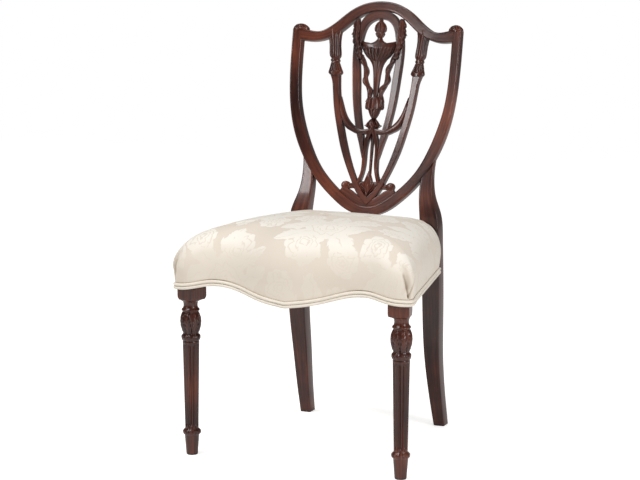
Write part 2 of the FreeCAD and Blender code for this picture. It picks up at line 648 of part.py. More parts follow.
def counterbore(head, direction):
    """The hole that a screw's head goes down, out of the corner block's long face."""
    bore = Part.makeCylinder(screw_head_radius, 2 * corner_block_blunt, V(0, 0, 0), V(-1, 0, 0))
    bore.rotate(V(0, 0, 0), V(0, 0, 1), direction)
    bore.translate(V(head[0], head[1], (block_low + block_high) / 2))
    return bore


along = leg - corner_block_blunt
corner_screw_in = 2 * corner_block_blunt - corner_screw_sunk
front_screw_y = front_rail_back_y + along
rear_screw_y = rear_inner_y - along
heads = [((front_inner_x - along, front_rail_back_y + corner_screw_in), 270),
         ((side_x(front_screw_y, inner_inset) - corner_screw_in, front_screw_y), side_angle),
         ((rear_inner_x - along, rear_inner_y - corner_screw_in), 90),
         ((side_x(rear_screw_y, inner_inset) - corner_screw_in, rear_screw_y), side_angle)]
screws = [screw(*head) for head in heads]
screws += [other_side(one) for one in screws]
screw_group = Part.makeCompound(screws)
bores = Part.makeCompound([counterbore(*head) for head in heads])
front_corner_block = front_corner_block.cut(screw_group).cut(bores)
rear_corner_block = rear_corner_block.cut(screw_group).cut(bores)
front_rail = front_rail.cut(screw_group)
side_rail = side_rail.cut(screw_group)
rear_rail = rear_rail.cut(screw_group)

# Webbing, woven in two directions and tacked on the rails
notch_low = rail_bottom_z - 70
post_notch = slab(polygon([(post_clear_x, notch_low), (post_clear_top_x, crown_z), (320, crown_z), (320, notch_low)]),
                  post_front_y, seat_rear_y + 60)
notches = post_notch.fuse(other_side(post_notch))
web_area = seat_prism(rail_top_z, rail_top_z + 2 * web_thickness, -cover_outset - web_inset)


def row(count, spacing):
    """Places of count things, spaced evenly about 0."""
    return [(place - (count - 1) / 2) * spacing for place in range(count)]


long_webs = [Part.makeBox(web_width, 600, web_thickness, V(x - web_width / 2, -300, rail_top_z))
             for x in row(lengthwise_webs, lengthwise_spacing)]
cross_webs = [Part.makeBox(600, web_width, web_thickness,
                           V(-300, crosswise_middle_y + y - web_width / 2, rail_top_z + web_thickness))
              for y in row(crosswise_webs, crosswise_spacing)]
lengthwise_webbing = Part.makeCompound([web.common(web_area) for web in long_webs])
crosswise_webbing = Part.makeCompound([web.common(web_area) for web in cross_webs])
hessian_z = rail_top_z + 2 * web_thickness
hessian = seat_prism(hessian_z, hessian_z + hessian_thickness, -cover_outset - hessian_inset).cut(notches)

# Seat cover and stuffing: padded sides that swell, turned over to a low crown
rise = crown_z - edge_z
top_scales = [(0.0, 1.0), (0.29, 0.972), (0.52, 0.935), (0.68, 0.89), (0.8, 0.82), (0.895, 0.7),
              (0.965, 0.5), (1.0, 0.25)]
swell_sections = [(rail_bottom_z - 40, 1.0), (rail_bottom_z + 17, 1.0),
                  (rail_bottom_z + 26, 1 + side_swell * 0.6), (rail_bottom_z + 42, 1 + side_swell),
                  (rail_bottom_z + 62, 1 + side_swell), (rail_bottom_z + 82, 1 + side_swell * 0.7)]
cover_sections = swell_sections + [(edge_z + share * rise, scale) for share, scale in top_scales]


def padded(thickness):
    """The padded seat's form, inside a cover of the given thickness."""
    wires = []
    for z, scale in cover_sections:
        drop = thickness if z > edge_z else thickness * max(0.0, (z - rail_bottom_z - 82)) / 30
        wires.append(seat_wire(z - drop, scale - thickness / seat_half_front))
    return Part.makeLoft(wires, True, True)


cover_form = padded(0.0)
stuffing_form = padded(cover_thickness)
blocks = front_block.fuse(other_side(front_block))
seat_cover = cover_form.cut(stuffing_form).cut(under_edge(0.0)).cut(notches).cut(in_place(lower_rail)).cut(blocks)
core = seat_prism(rail_bottom_z - 80, hessian_z + hessian_thickness + soft_gap, -cover_outset + soft_gap)
seat_stuffing = padded(cover_thickness + soft_gap).cut(core).cut(under_edge(3.0)).cut(notches).cut(blocks)

# Double welt round the lower edge, each cord a narrow moulded strip here
welt_ring = seat_prism(rail_bottom_z - 60, rail_bottom_z + 60, welt_thickness)
welt_ring = welt_ring.cut(cover_form).cut(notches)
low_welt = welt_ring.cut(under_edge(0.0)).common(under_edge(welt_height))
high_welt = welt_ring.cut(under_edge(welt_height)).common(under_edge(2 * welt_height))

# Black dust cover under the rails, with its tacks
dust_z = rail_bottom_z + 1 - dust_cover_thickness
dust_cover = seat_prism(dust_z, rail_bottom_z + 1, -cover_outset - dust_cover_inset).cut(notches)
dust_cover = dust_cover.cut(Part.makeBox(800, 200, 200, V(-400, front_rail_back_y - 200, dust_z - 50)))
dust_cover = dust_cover.cut(blocks)


def tack(x, y):
    shank = Part.makeCylinder(tack_radius, tack_length, V(x, y, dust_z))
    head = Part.makeCylinder(tack_head_radius, tack_head, V(x, y, dust_z - tack_head))
    return shank.fuse(head)


tacks = []
side_count = int((seat_side_rear_y - block_rear_y - tack_spacing) / tack_spacing)
for count in range(side_count + 1):
    y = block_rear_y + tack_spacing / 2 + count * tack_spacing
    tacks += [tack(side_x(y, rail_middle), y), tack(-side_x(y, rail_middle), y)]
for x in row(rear_tacks, tack_spacing):
    tacks.append(tack(x, rear_rail_back_y - rear_rail_thickness / 2))
tack_group = Part.makeCompound(tacks)
dust_cover = dust_cover.cut(tack_group)
side_rail = side_rail.cut(tack_group)
rear_rail = rear_rail.cut(tack_group)

save_pair(front_leg, "front_leg")
save(front_rail, "seat_rail_front")
save(side_rail, "seat_rail_right")
save(other_side(side_rail), "seat_rail_left")
save(rear_rail, "seat_rail_rear")
save_pair(front_corner_block, "corner_block_front")
save_pair(rear_corner_block, "corner_block_rear")
save(screw_group, "corner_block_screws")
save(lengthwise_webbing, "webbing_lengthwise")
save(crosswise_webbing, "webbing_crosswise")
save(hessian, "hessian")
save(seat_stuffing, "seat_stuffing")
save(seat_cover, "seat_cover")
save(low_welt, "welt_lower")
save(high_welt, "welt_upper")
save(dust_cover, "dust_cover")
save(tack_group, "dust_cover_tacks")
save(in_place(crest_rail), "crest_rail")
save(in_place(lower_rail), "shield_lower_rail")
save_pair(in_place(ear_cap), "ear_cap")
save_pair(rear_post, "rear_post")
save_pair(in_place(splat_rib), "splat_rib")
save_pair(in_place(capital), "rib_capital")
save_pair(in_place(swag), "swag")
save_pair(in_place(stem), "splat_stem")
save(in_place(hoop), "splat_hoop")
save(in_place(knot_leaf), "knot_leaf")
save(in_place(bud), "lotus_bud")
save(in_place(spindle), "spindle")
save_pair(in_place(scroll_bracket), "scroll_bracket")
save(in_place(urn_finial), "urn_finial")
save(in_place(urn_lid), "urn_lid")
save(in_place(urn_bowl), "urn_bowl")
save(in_place(urn_stem), "urn_stem")
save(in_place(leaf_cup), "leaf_cup")
save(in_place(urn_drop), "urn_drop")
save_pair(in_place(husk_chain), "husk_chain")
save_pair(in_place(ribbon), "ribbon")
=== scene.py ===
import json
import math
import bmesh
import bpy
import numpy as np
from mathutils import Euler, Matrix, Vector

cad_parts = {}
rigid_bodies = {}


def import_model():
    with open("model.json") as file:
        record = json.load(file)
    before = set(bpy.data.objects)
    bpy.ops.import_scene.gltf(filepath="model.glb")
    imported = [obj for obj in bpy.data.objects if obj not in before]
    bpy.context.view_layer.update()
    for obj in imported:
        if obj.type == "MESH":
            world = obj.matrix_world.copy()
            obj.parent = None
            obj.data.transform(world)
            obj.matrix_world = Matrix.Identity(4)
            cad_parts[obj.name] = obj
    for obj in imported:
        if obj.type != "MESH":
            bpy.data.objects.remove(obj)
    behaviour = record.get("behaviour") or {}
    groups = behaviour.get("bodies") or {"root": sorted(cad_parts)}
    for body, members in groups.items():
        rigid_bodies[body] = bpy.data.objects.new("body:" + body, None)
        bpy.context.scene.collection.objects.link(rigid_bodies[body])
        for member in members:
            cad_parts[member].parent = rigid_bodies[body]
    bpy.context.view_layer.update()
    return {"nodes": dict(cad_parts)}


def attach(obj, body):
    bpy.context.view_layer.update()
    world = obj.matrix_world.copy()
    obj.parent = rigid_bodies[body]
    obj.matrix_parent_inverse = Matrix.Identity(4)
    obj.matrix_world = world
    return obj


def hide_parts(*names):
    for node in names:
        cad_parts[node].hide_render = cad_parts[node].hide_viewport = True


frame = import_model()
MM = 0.001


# The room. A pale floor runs into white. A large lamp stands high on the left in front, a tall strip on the
# right lights the edges there, and a small one on the left gives the lacquer its sheen.
def linear(colour):
    """An sRGB hex value as the linear colour that a socket takes."""
    shares = [int(colour[place:place + 2], 16) / 255 for place in (1, 3, 5)]
    return [share / 12.92 if share <= 0.04045 else ((share + 0.055) / 1.055) ** 2.4
            for share in shares] + [1.0]


def add(tree, kind, inputs=(), **settings):
    """Adds a node with its settings to a tree, and fills or links its inputs, by name or in their order."""
    node = tree.nodes.new(kind)
    for name, value in settings.items():
        setattr(node, name, value)
    for name, value in inputs.items() if isinstance(inputs, dict) else enumerate(inputs):
        if isinstance(value, bpy.types.Node):
            value = value.outputs[0]
        if isinstance(value, bpy.types.NodeSocket):
            tree.links.new(value, node.inputs[name])
        else:
            node.inputs[name].default_value = value
    return node


def new_material(name):
    """An empty material and its tree."""
    material = bpy.data.materials.new(name)
    material.use_nodes = True
    material.node_tree.nodes.clear()
    return material, material.node_tree


world = bpy.data.worlds.new("white_room")
bpy.context.scene.world = world
world.use_nodes = True
tree = world.node_tree
tree.nodes.clear()
rays = add(tree, "ShaderNodeLightPath")
facing = add(tree, "ShaderNodeSeparateXYZ", [add(tree, "ShaderNodeTexCoord").outputs["Generated"]])
behind = add(tree, "ShaderNodeMapRange", [facing.outputs["Y"], -0.3, 0.6, 0.06, 0.16])
gloss = add(tree, "ShaderNodeMix", {0: rays.outputs["Is Glossy Ray"], 2: 0.45, 3: behind})
strength = add(tree, "ShaderNodeMix", {0: rays.outputs["Is Camera Ray"], 2: gloss, 3: 1.0})
add(tree, "ShaderNodeOutputWorld", [add(tree, "ShaderNodeBackground", [(1.0, 1.0, 1.0, 1.0), strength])])

floor_mesh = bpy.data.meshes.new("floor")
floor_mesh.from_pydata([(-6, -6, 0), (6, -6, 0), (6, 6, 0), (-6, 6, 0)], [], [(0, 1, 2, 3)])
floor = bpy.data.objects.new("floor", floor_mesh)
bpy.context.scene.collection.objects.link(floor)
floor_paint, tree = new_material("white_studio_floor")
paint = add(tree, "ShaderNodeBsdfDiffuse", {"Color": linear("#f4f3f1")})
lift = add(tree, "ShaderNodeEmission", {"Color": (1.0, 1.0, 1.0, 1.0), "Strength": 0.6})
lit = add(tree, "ShaderNodeAddShader", [paint, lift])
rays = add(tree, "ShaderNodeLightPath")
seen = add(tree, "ShaderNodeMixShader", [rays.outputs["Is Camera Ray"], paint, lit])
add(tree, "ShaderNodeOutputMaterial", [seen])
floor_mesh.materials.append(floor_paint)


def softbox(name, place, size, power, aim=(0.0, 0.0, 0.5)):
    """A rectangular soft lamp at a place in metres, turned to its aim."""
    light = bpy.data.lights.new(name, "AREA")
    light.shape = "RECTANGLE"
    light.size, light.size_y = size
    light.energy = power
    lamp = bpy.data.objects.new(name, light)
    lamp.location = place
    lamp.rotation_euler = (Vector(place) - Vector(aim)).to_track_quat("Z", "Y").to_euler()
    bpy.context.scene.collection.objects.link(lamp)


softbox("key_lamp", (-1.15, -1.45, 3.6), (1.6, 1.6), 59.0)
softbox("strip_lamp", (2.7, -1.2, 1.35), (0.5, 1.6), 33.0)
softbox("sheen_lamp", (-1.43, -2.15, 1.64), (0.46, 0.36), 8.5, (0.08, 0.25, 0.8))

camera_lens = bpy.data.cameras.new("camera")
camera_lens.sensor_fit = "HORIZONTAL"
camera_lens.sensor_width = 36.0
camera_lens.lens = 99.07
camera = bpy.data.objects.new("camera", camera_lens)
camera.location = (1.4985, -3.5352, 1.0236)
camera.rotation_euler = Euler([math.radians(turn) for turn in (81.55, 0.0, 23.51)])
bpy.context.scene.collection.objects.link(camera)
bpy.context.scene.camera = camera
bpy.context.scene.view_settings.view_transform = "Standard"

# Mahogany: straight-grained boards stained dark red-brown, filled, toned and lacquered to a satin. The eye
# sees darker and redder streaks along the grain, dark glaze and painted shade in the carving, and soft white
# reflections.
mahogany, tree = new_material("stained_mahogany_satin_lacquer")
grain = add(tree, "ShaderNodeUVMap", uv_map="grain")
# Streaks are about 6 mm wide and 150 mm long. Pores are drawn 1 mm wide, as the real 0.2 mm wouldn't show
streak_way = add(tree, "ShaderNodeMapping", {"Vector": grain, "Scale": (7.0, 160.0, 1.0)})
streaks = add(tree, "ShaderNodeTexNoise", {"Vector": streak_way, "Scale": 1.0, "Detail": 4.0,
                                           "Roughness": 0.6})
pore_way = add(tree, "ShaderNodeMapping", {"Vector": grain, "Scale": (70.0, 1000.0, 1.0)})
pores = add(tree, "ShaderNodeTexNoise", {"Vector": pore_way, "Scale": 1.0, "Detail": 2.0})
place = add(tree, "ShaderNodeTexCoord").outputs["Object"]
cloud = add(tree, "ShaderNodeTexNoise", {"Vector": place, "Scale": 9.0, "Detail": 2.0})
both = add(tree, "ShaderNodeMath", [streaks, cloud], operation="ADD")
tone = add(tree, "ShaderNodeMath", [both, 0.5], operation="MULTIPLY")
ramp = add(tree, "ShaderNodeValToRGB", [tone])
stops = ramp.color_ramp.elements
stops[0].position, stops[0].color = 0.36, linear("#28100b")
stops[1].position, stops[1].color = 0.66, linear("#783b25")
stops.new(0.5).color = linear("#4b2217")
pore_mark = add(tree, "ShaderNodeMapRange", [pores, 0.36, 0.5, 0.72, 1.0])
pored = add(tree, "ShaderNodeMix", {0: 1.0, 6: ramp, 7: pore_mark}, data_type="RGBA", blend_type="MULTIPLY")
# Glaze wiped off the faces and left in the cuts, with painted shade: the colour darkens within about 5 mm of
# a corner
hollow = add(tree, "ShaderNodeAmbientOcclusion", {"Distance": 0.005}, samples=6)
glaze_and_shade = add(tree, "ShaderNodeMapRange", [hollow.outputs["AO"], 0.32, 0.92])
glazed_and_shaded = add(tree, "ShaderNodeMix", {0: glaze_and_shade, 6: linear("#120605"), 7: pored.outputs[2]}, data_type="RGBA")
dull = add(tree, "ShaderNodeMapRange", [cloud, 0.0, 1.0, 0.26, 0.36])
ripple = add(tree, "ShaderNodeBump", {"Strength": 0.08, "Distance": 0.0004, "Height": pores})
wood = add(tree, "ShaderNodeBsdfPrincipled", {"Base Color": glazed_and_shaded.outputs[2], "Roughness": dull,
                                              "Normal": ripple, "Specular IOR Level": 0.45,
                                              "Coat Weight": 0.35, "Coat Roughness": 0.08})
add(tree, "ShaderNodeOutputMaterial", [wood])


# The curved back. It is drawn flat, u across and v up its slope in millimetres, bent to the sweep of the
# sawn boards, and leaned back on the seat. Depth is measured behind the front of the shield.
back_y, back_z, rake, bow_radius = 163.2, 485.0, math.radians(11.5), 900.0


def on_back(u, v, depth):
    """Places on the back in millimetres, from arrays of flat places and depths."""
    u, v, depth = np.broadcast_arrays(u, v, depth)
    away = np.sqrt((bow_radius + depth) ** 2 - u ** 2) - bow_radius
    y = away * math.cos(rake) + v * math.sin(rake) + back_y
    z = v * math.cos(rake) - away * math.sin(rake) + back_z
    return np.stack([u, y, z], axis=-1)


def smooth(points, count):
    """Places along the smooth curve through the points, at even steps of its chord."""
    points = np.array(points, float)
    steps = np.linalg.norm(np.diff(points, axis=0), axis=1)
    reach = np.concatenate([[0.0], np.cumsum(steps)])
    system = np.eye(len(points))
    turn = np.zeros_like(points)
    for index in range(1, len(points) - 1):
        before, after = steps[index - 1], steps[index]
        system[index, index - 1:index + 2] = before, 2 * (before + after), after
        rise = (points[index + 1] - points[index]) / after
        turn[index] = 6 * (rise - (points[index] - points[index - 1]) / before)
    turn = np.linalg.solve(system, turn)
    at = np.linspace(0, reach[-1], count)
    span = np.clip(np.searchsorted(reach, at, side="right") - 1, 0, len(points) - 2)
    step = steps[span][:, None]
    late = (at - reach[span])[:, None] / step
    early = 1 - late
    line = early * points[span] + late * points[span + 1]
    return line + ((early ** 3 - early) * turn[span] + (late ** 3 - late) * turn[span + 1]) * step ** 2 / 6


def mirrored(points):
    """A right half, given from the middle outwards, completed to the left."""
    return [(-across, up) for across, up in reversed(points) if across > 0] + list(points)


def two_edges(first, second, count):
    """Both edges of a strip, at like places along it."""
    both = smooth(np.hstack([np.array(first, float), np.array(second, float)]), count)
    return both[:, :2], both[:, 2:]


def across_moulding(width, front, back, rounding, crown=0.0, reeds=1):
    """Outlines across a strip, one a row, as arrays of places across and depths. Its edges are rounded and
    its front swells in one or more reeds."""
    rows = len(width)
    width, front, back, rounding, crown = (np.broadcast_to(value, rows)[:, None]
                                           for value in (width, front, back, rounding, crown))
    turn = np.radians(np.linspace(0, 90, 5))[None, :]
    inward, under = rounding * (1 - np.cos(turn)), rounding * (1 - np.sin(turn))
    share = np.linspace(0, 1, 13)[None, 1:-1]
    face = rounding + (width - 2 * rounding) * share
    across = [inward, face, width - inward[:, ::-1]]
    across += [width - inward, face[:, ::-1], inward[:, ::-1]]
    swell = crown * np.abs(np.sin(math.pi * reeds * share)) ** 0.8
    flat = np.zeros_like(face)
    depth = [front + under, front - swell, front + under[:, ::-1]]
    depth += [back - under, back + flat, back - under[:, ::-1]]
    return np.concatenate(across, axis=1), np.concatenate(depth, axis=1)


def strip(first, second, front, back, rounding=1.8, crown=0.0, reeds=1):
    """A moulding of the back between two edges, as rows of places."""
    width = np.linalg.norm(second - first, axis=1)
    across, depth = across_moulding(width, front, back, rounding, crown, reeds)
    share = (across / width[:, None])[..., None]
    flat = first[:, None, :] * (1 - share) + second[:, None, :] * share
    return on_back(flat[..., 0], flat[..., 1], depth)


def solid(name, grids, material, grain_map="grain"):
    """A closed piece from grids of rows of places in millimetres. The grain runs from row to row, and each
    piece is cut from another place of the board."""
    work = bmesh.new()
    layer = work.loops.layers.uv.new(grain_map)
    board = 0.37 * len(bpy.data.objects)
    for grid in grids:
        around = grid.shape[1]
        steps = np.linalg.norm(np.diff(grid, axis=0), axis=2).mean(axis=1)
        along = board + np.concatenate([[0.0], np.cumsum(steps)]) * MM
        ring = grid[len(grid) // 2]
        reach = np.linalg.norm(np.roll(ring, -1, axis=0) - ring, axis=1)
        across = board + np.concatenate([[0.0], np.cumsum(reach)]) * MM
        places = [[work.verts.new(place * MM) for place in row] for row in grid]
        for low in range(len(grid) - 1):
            for left in range(around):
                right = (left + 1) % around
                face = work.faces.new((places[low][left], places[low][right],
                                       places[low + 1][right], places[low + 1][left]))
                spots = ((low, left), (low, left + 1), (low + 1, left + 1), (low + 1, left))
                for loop, (row, column) in zip(face.loops, spots):
                    loop[layer].uv = (along[row], across[column])
        for end in (0, -1):
            for left in range(around // 2 - 1):
                corners = (left, left + 1, around - 2 - left, around - 1 - left)
                face = work.faces.new([places[end][index] for index in corners])
                for loop in face.loops:
                    loop[layer].uv = (along[end], across[left])
    bmesh.ops.remove_doubles(work, verts=work.verts, dist=0.00001)
    bmesh.ops.recalc_face_normals(work, faces=work.faces)
    mesh = bpy.data.meshes.new(name)
    work.to_mesh(mesh)
    work.free()
    mesh.shade_smooth()
    mesh.set_sharp_from_angle(angle=math.radians(40))
    mesh.materials.append(material)
    piece = bpy.data.objects.new(name, mesh)
    bpy.context.scene.collection.objects.link(piece)
    return piece


def fit(piece, slot, *stood_for):
    """The piece rides on the chair and stands for the CAD nodes named, which are hidden. slot is not used.
    """
    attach(piece, "root")
    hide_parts(*stood_for)


def carve(name, grids):
    """A mahogany piece, which stands for the CAD node of its name."""
    fit(solid("mahogany_" + name, grids, mahogany), "mahogany", name)


def carve_pair(name, grids):
    """A mahogany piece of the right side, and its mirror image."""
    for side, sign in (("right", 1.0), ("left", -1.0)):
        carve(name + "_" + side, [grid * (sign, 1.0, 1.0) for grid in grids])


# The shield: two stiles, a serpentine crest rail and a lower rail, sawn from thick boards to one flat
# moulding with its edges rounded over. The rear legs are one piece with the stiles and stand back from it.
frame_depth = 22.0
edge_round = 3.2
shield_outer = [(0, 2), (40, 10.5), (80, 36.5), (125, 80), (169, 150), (199, 250), (206, 340), (206.5, 428)]
shield_inner = [(0, 23.5), (30, 32), (70, 59), (110, 98), (142, 150), (176, 250), (184, 340), (184, 428)]
inner, outer = two_edges(mirrored(shield_inner), mirrored(shield_outer), 480)
# The lower rail meets each stile on a slanting line through this place
joint_across, joint_up = 113.0, 84.5
middle = (inner + outer) / 2
joint = int(np.argmax((middle[:, 0] > 0) & (middle.sum(axis=1) >= joint_across + joint_up)))
low = slice(len(middle) - 1 - joint, joint + 1)
carve("shield_lower_rail", [strip(inner[low], outer[low], 0.0, frame_depth, edge_round)])
stile = strip(inner[joint:], outer[joint:], 0.0, frame_depth, edge_round)

crest_top = [(0, 497), (40, 491), (80, 469), (110, 443.5), (135, 427.5), (155, 424.2), (172, 426.8),
             (187, 430.5)]
crest_bottom = [(0, 475), (33, 470), (70, 446.5), (99, 422), (122, 409.5), (150, 401.5), (170, 400.8),
                (187, 402)]
crest_edges = two_edges(mirrored(crest_bottom), mirrored(crest_top), 240)
carve("crest_rail", [strip(*crest_edges, 0.0, frame_depth, edge_round)])


def by_height(points):
    """A function that gives the value at a height, from pairs (value, height)."""
    line = smooth(points, 300)
    return lambda height: np.interp(height, line[:, 1], line[:, 0])


leg_outside = by_height([(181.5, 0), (181.5, 70), (182.5, 170), (186, 260), (186.5, 350), (184.5, 440),
                         (178, 500), (165, 535), (159.5, 570), (161, 612), (166, 640)])
leg_inside = by_height([(155.7, 0), (150, 97), (146.5, 175), (146.3, 263), (145.5, 330), (143, 400),
                        (139, 475), (134, 520), (131.5, 560), (139, 600), (156, 640)])
leg_front = by_height([(209.6, 0), (189, 69), (166.5, 170), (153.5, 260), (150, 330), (149, 400),
                       (149.5, 450), (153, 498), (165, 551), (174, 583), (182, 615), (187, 640)])
leg_back = by_height([(239.6, 0), (220, 69), (199, 170), (187.5, 260), (184.5, 330), (184, 400),
                      (184, 450), (186, 498), (190.5, 551), (194, 583), (198, 615), (201, 640)])
heights = np.concatenate([[0.0, 1.2], np.linspace(4, 636, 150)])
# The foot's sharp lower edge is eased by 1 mm
ease = np.where(heights < 1, 1.0, 0.0)
inside, outside = leg_inside(heights) + ease, leg_outside(heights) - ease
across, depth = across_moulding(outside - inside, leg_front(heights) + ease, leg_back(heights) - ease, 2.4)
up = np.broadcast_to(heights[:, None], across.shape)
carve_pair("rear_post", [stile, np.stack([inside[:, None] + across, depth, up], axis=-1)])

# The pierced splat's flat bands: outer ribs, a pointed hoop, two stems and the swags that tie them. They
# are sawn from one thinner board set back in the shield. The swags are rounded over and stand proud.
splat_front = 3.5
splat_back = 20.5
rib_outside = [(0, 26), (14, 40), (27, 55), (40, 79), (50, 100), (71, 150), (85.5, 200), (97, 250),
               (103.5, 296), (106.5, 312), (111, 324), (114.5, 334)]
rib_inside = [(0, 45), (10, 56), (17, 65), (27, 80), (37, 100), (56, 150), (70.5, 200), (81, 250),
              (88.2, 296), (89.5, 312), (90.4, 324), (91, 334)]
carve_pair("splat_rib", [strip(*two_edges(rib_inside, rib_outside, 140), splat_front, splat_back, 1.5)])

hoop_outside = [(0, 477), (22, 473), (40, 460), (52, 437), (59, 411), (61.5, 385), (61, 360), (58, 321),
                (53, 270), (44, 219), (37, 190), (31, 172), (25, 152), (20, 134)]
hoop_inside = [(0, 457), (20, 451), (31, 441), (38, 425), (42, 405), (45.5, 380), (45, 360), (41, 321),
               (37, 270), (29, 219), (23, 193), (20, 178), (19, 160), (18, 134)]
hoop_edges = two_edges(mirrored(hoop_inside), mirrored(hoop_outside), 280)
carve("splat_hoop", [strip(*hoop_edges, splat_front, splat_back, 1.5)])

swag_top = [(0, 205), (10, 203), (20, 201), (30, 201.5), (40, 205.5), (50, 212), (60, 222), (70, 238),
            (79, 262), (84, 276)]
swag_foot = [(0, 191), (10, 190.5), (20, 189), (30, 188.5), (40, 190.5), (50, 195), (60, 200), (68, 208),
             (76, 224), (80, 234)]
swag_edges = two_edges(swag_foot, swag_top, 90)
carve_pair("swag", [strip(*swag_edges, splat_front - 0.4, splat_back - 1, 2.4, 0.8)])

stem_inside = [(23, 71), (19, 83), (14, 100), (11, 120), (10.5, 150), (7.5, 173), (-4, 203)]
stem_outside = [(33, 71), (28, 82), (21.5, 100), (19.5, 120), (19.5, 150), (16.5, 173), (6, 206)]
stem_edges = two_edges(stem_inside, stem_outside, 90)
# Near the knot the stems come forward, to pass in front of the swags
stem_front = splat_front + 0.8 - 3.2 * np.clip(np.linspace(-2.2, 1.2, 90), 0, 1)
carve_pair("splat_stem", [strip(*stem_edges, stem_front, splat_back - 0.5, 2.2, 0.9)])
spindle_right = [(2.8, 98), (3.4, 150), (4.4, 200)]
spindle_edges = two_edges([(-across, up) for across, up in spindle_right], spindle_right, 20)
carve("spindle", [strip(*spindle_edges, 11.5, 18.0, 1.2)])


# Carved pieces of the splat. Each is shaped from its own block, glued to the bands: round at the front,
# flatter behind, and cut with lobes, petals, veins or gadroons that follow its outline.
def even(points, count):
    """Places spread evenly along a line of points."""
    points = np.array(points, float)
    reach = np.concatenate([[0.0], np.cumsum(np.linalg.norm(np.diff(points, axis=0), axis=1))])
    at = np.linspace(0, reach[-1], count)
    return np.stack([np.interp(at, reach, column) for column in points.T], axis=1)


def carving(spans, front, back, cut=None, square=2.4, around=96, rows=72, straight=False):
    """Rows up a carved piece from its spans: height, middle and half width. cut gives how far it grows
    outwards and up, in millimetres, from the angle round the piece, 0 at its right and 90 degrees at its
    front, and the share of its height."""
    line = even(spans, rows) if straight else smooth(spans, rows)
    height, centre, half = (column[:, None] for column in line.T)
    turn = np.radians(np.linspace(0, 360, around, endpoint=False) + 180.0 / around)[None, :]
    share = (height - height[0]) / (height[-1] - height[0])
    half = np.maximum(half, 0.3)
    depth = np.minimum((back - front) / 2, half * 1.05 + 0.5)
    side, fore = np.cos(turn), np.sin(turn)
    reach = (np.abs(side) ** square + np.abs(fore) ** square) ** (-1 / square)
    grow, lift = cut(turn, share) if cut else (0.0, 0.0)
    u = centre + (half * reach + grow) * side
    w = (front + back) / 2 - (depth * reach + grow) * fore
    return np.roll(on_back(u, height + lift, w), 1, axis=1)


def lobes(turn, count):
    """1 on each rounded lobe and 0 in the cuts between them."""
    return np.abs(np.cos(turn * count / 2)) ** 0.6


def fade(value, start, end):
    """From 0 before start to 1 past end."""
    return np.clip((value - start) / (end - start), 0, 1)


def vase(turn, share):
    """The capital: three long round leaves above the ring, and pointed petals on the collar below it."""
    leaves = fade(share, 0.37, 0.42) * 3.4 * (lobes(turn + math.pi / 6, 6) - 0.75)
    skirt = fade(share, 0.27, 0.22) * fade(share, 0.07, 0.1)
    petal = lobes(turn, 12)
    return leaves + skirt * 3.2 * (petal - 0.75), -2.0 * skirt * (petal - 0.5)


capital_spans = [(324, 101, 11), (326, 101, 14.4), (329, 101, 17), (331, 101, 17.2), (335, 101.2, 15.6),
                 (341, 101.8, 13.2), (347, 102.6, 11.2), (352, 103.2, 10), (355, 103.6, 8.8),
                 (356, 103.6, 10), (358.5, 103.8, 11), (361, 104, 10), (362, 104, 8.6), (364, 104.2, 9.8),
                 (368, 104.6, 11.8), (374, 105.2, 12.8), (381, 105.8, 12.7), (392, 107, 12.2),
                 (405, 108.4, 13), (418, 109.8, 15.2), (430, 111, 19)]
carve_pair("rib_capital", [carving(capital_spans, 0.6, 21.5, vase, rows=110, straight=True)])


def gadroons(turn, share):
    """Thirteen slanted lobes round the front of the bowl, that end below its rim."""
    round_front = np.arccos(np.clip(np.cos(turn), -1, 1))
    cut = fade(share, 0.0, 0.12) * fade(share, 0.78, 0.72)
    return cut * 2.0 * (lobes(round_front + 0.12 * share, 26) - 0.6), 7.0 * (np.cos(turn) * share) ** 2


bowl_spans = [(358, 0, 12), (362, 0, 20), (369, 0, 29), (378, 0, 36.5), (387, 0, 41.5), (390.5, 0, 42.6),
              (391.5, 0, 44.2), (395, 0, 45), (398, 0, 44.4), (399, 0, 42)]
carve("urn_bowl", [carving(bowl_spans, 0.8, 20.5, gadroons, 2.3, 200, 60, True)])
lid_spans = [(394, 0, 36), (397, 0, 35), (399.5, 0, 27), (402, 0, 18), (405, 0, 11), (408.5, 0, 7),
             (413, 0, 5.4)]
carve("urn_lid", [carving(lid_spans, 2.6, 20.5, None, 2.3, 120, 60, True)])


def fluting(turn, share):
    """Long shallow flutes that fade towards the foot."""
    return (0.25 + 0.75 * share) * 1.1 * (lobes(turn, 12) - 0.6), 0.0


stem_spans = [(264, 0, 4.6), (290, 0, 6.2), (312, 0, 7.5), (336, 0, 10), (352, 0, 14.5), (362, 0, 21)]
carve("urn_stem", [carving(stem_spans, 2.2, 20.5, fluting, 2.2)])


def cup_leaves(turn, share):
    """Leaves that hang from the cup, with ragged points."""
    hang = fade(share, 1.1, 0.1)
    leaf = lobes(turn + 0.26, 10)
    ragged = 0.25 * np.abs(np.sin(turn * 15))
    return 3.0 * hang * (leaf - 0.6) - 1.2 * ragged, -6.0 * hang * (leaf - 0.5 - ragged)


cup_spans = [(249, 0, 17), (252, 0, 21.5), (258, 0, 22.4), (266, 0, 21.4), (271, 0, 18), (276, 0, 13)]
carve("leaf_cup", [carving(cup_spans, 1.0, 20.5, cup_leaves, 2.1, 144)])


def pointed_lobes(turn, share):
    """Eight plain lobes from end to end."""
    return 1.8 * (lobes(turn + math.pi / 8, 8) - 0.6), 0.0


drop_spans = [(222, 0, 1.4), (228, 0, 5.6), (238, 0, 11.5), (247, 0, 14.6), (256, 0, 15)]
carve("urn_drop", [carving(drop_spans, 2.6, 20.0, pointed_lobes, 2.0)])


def veined(turn, share):
    """A middle rib with side veins that sweep up and out from it."""
    side = np.abs(np.cos(turn))
    vein = np.cos(2 * math.pi * (2.6 * side - 1.6 * share))
    return 1.9 * vein * np.clip(side * 4, 0.2, 1), 2.0 * vein * side


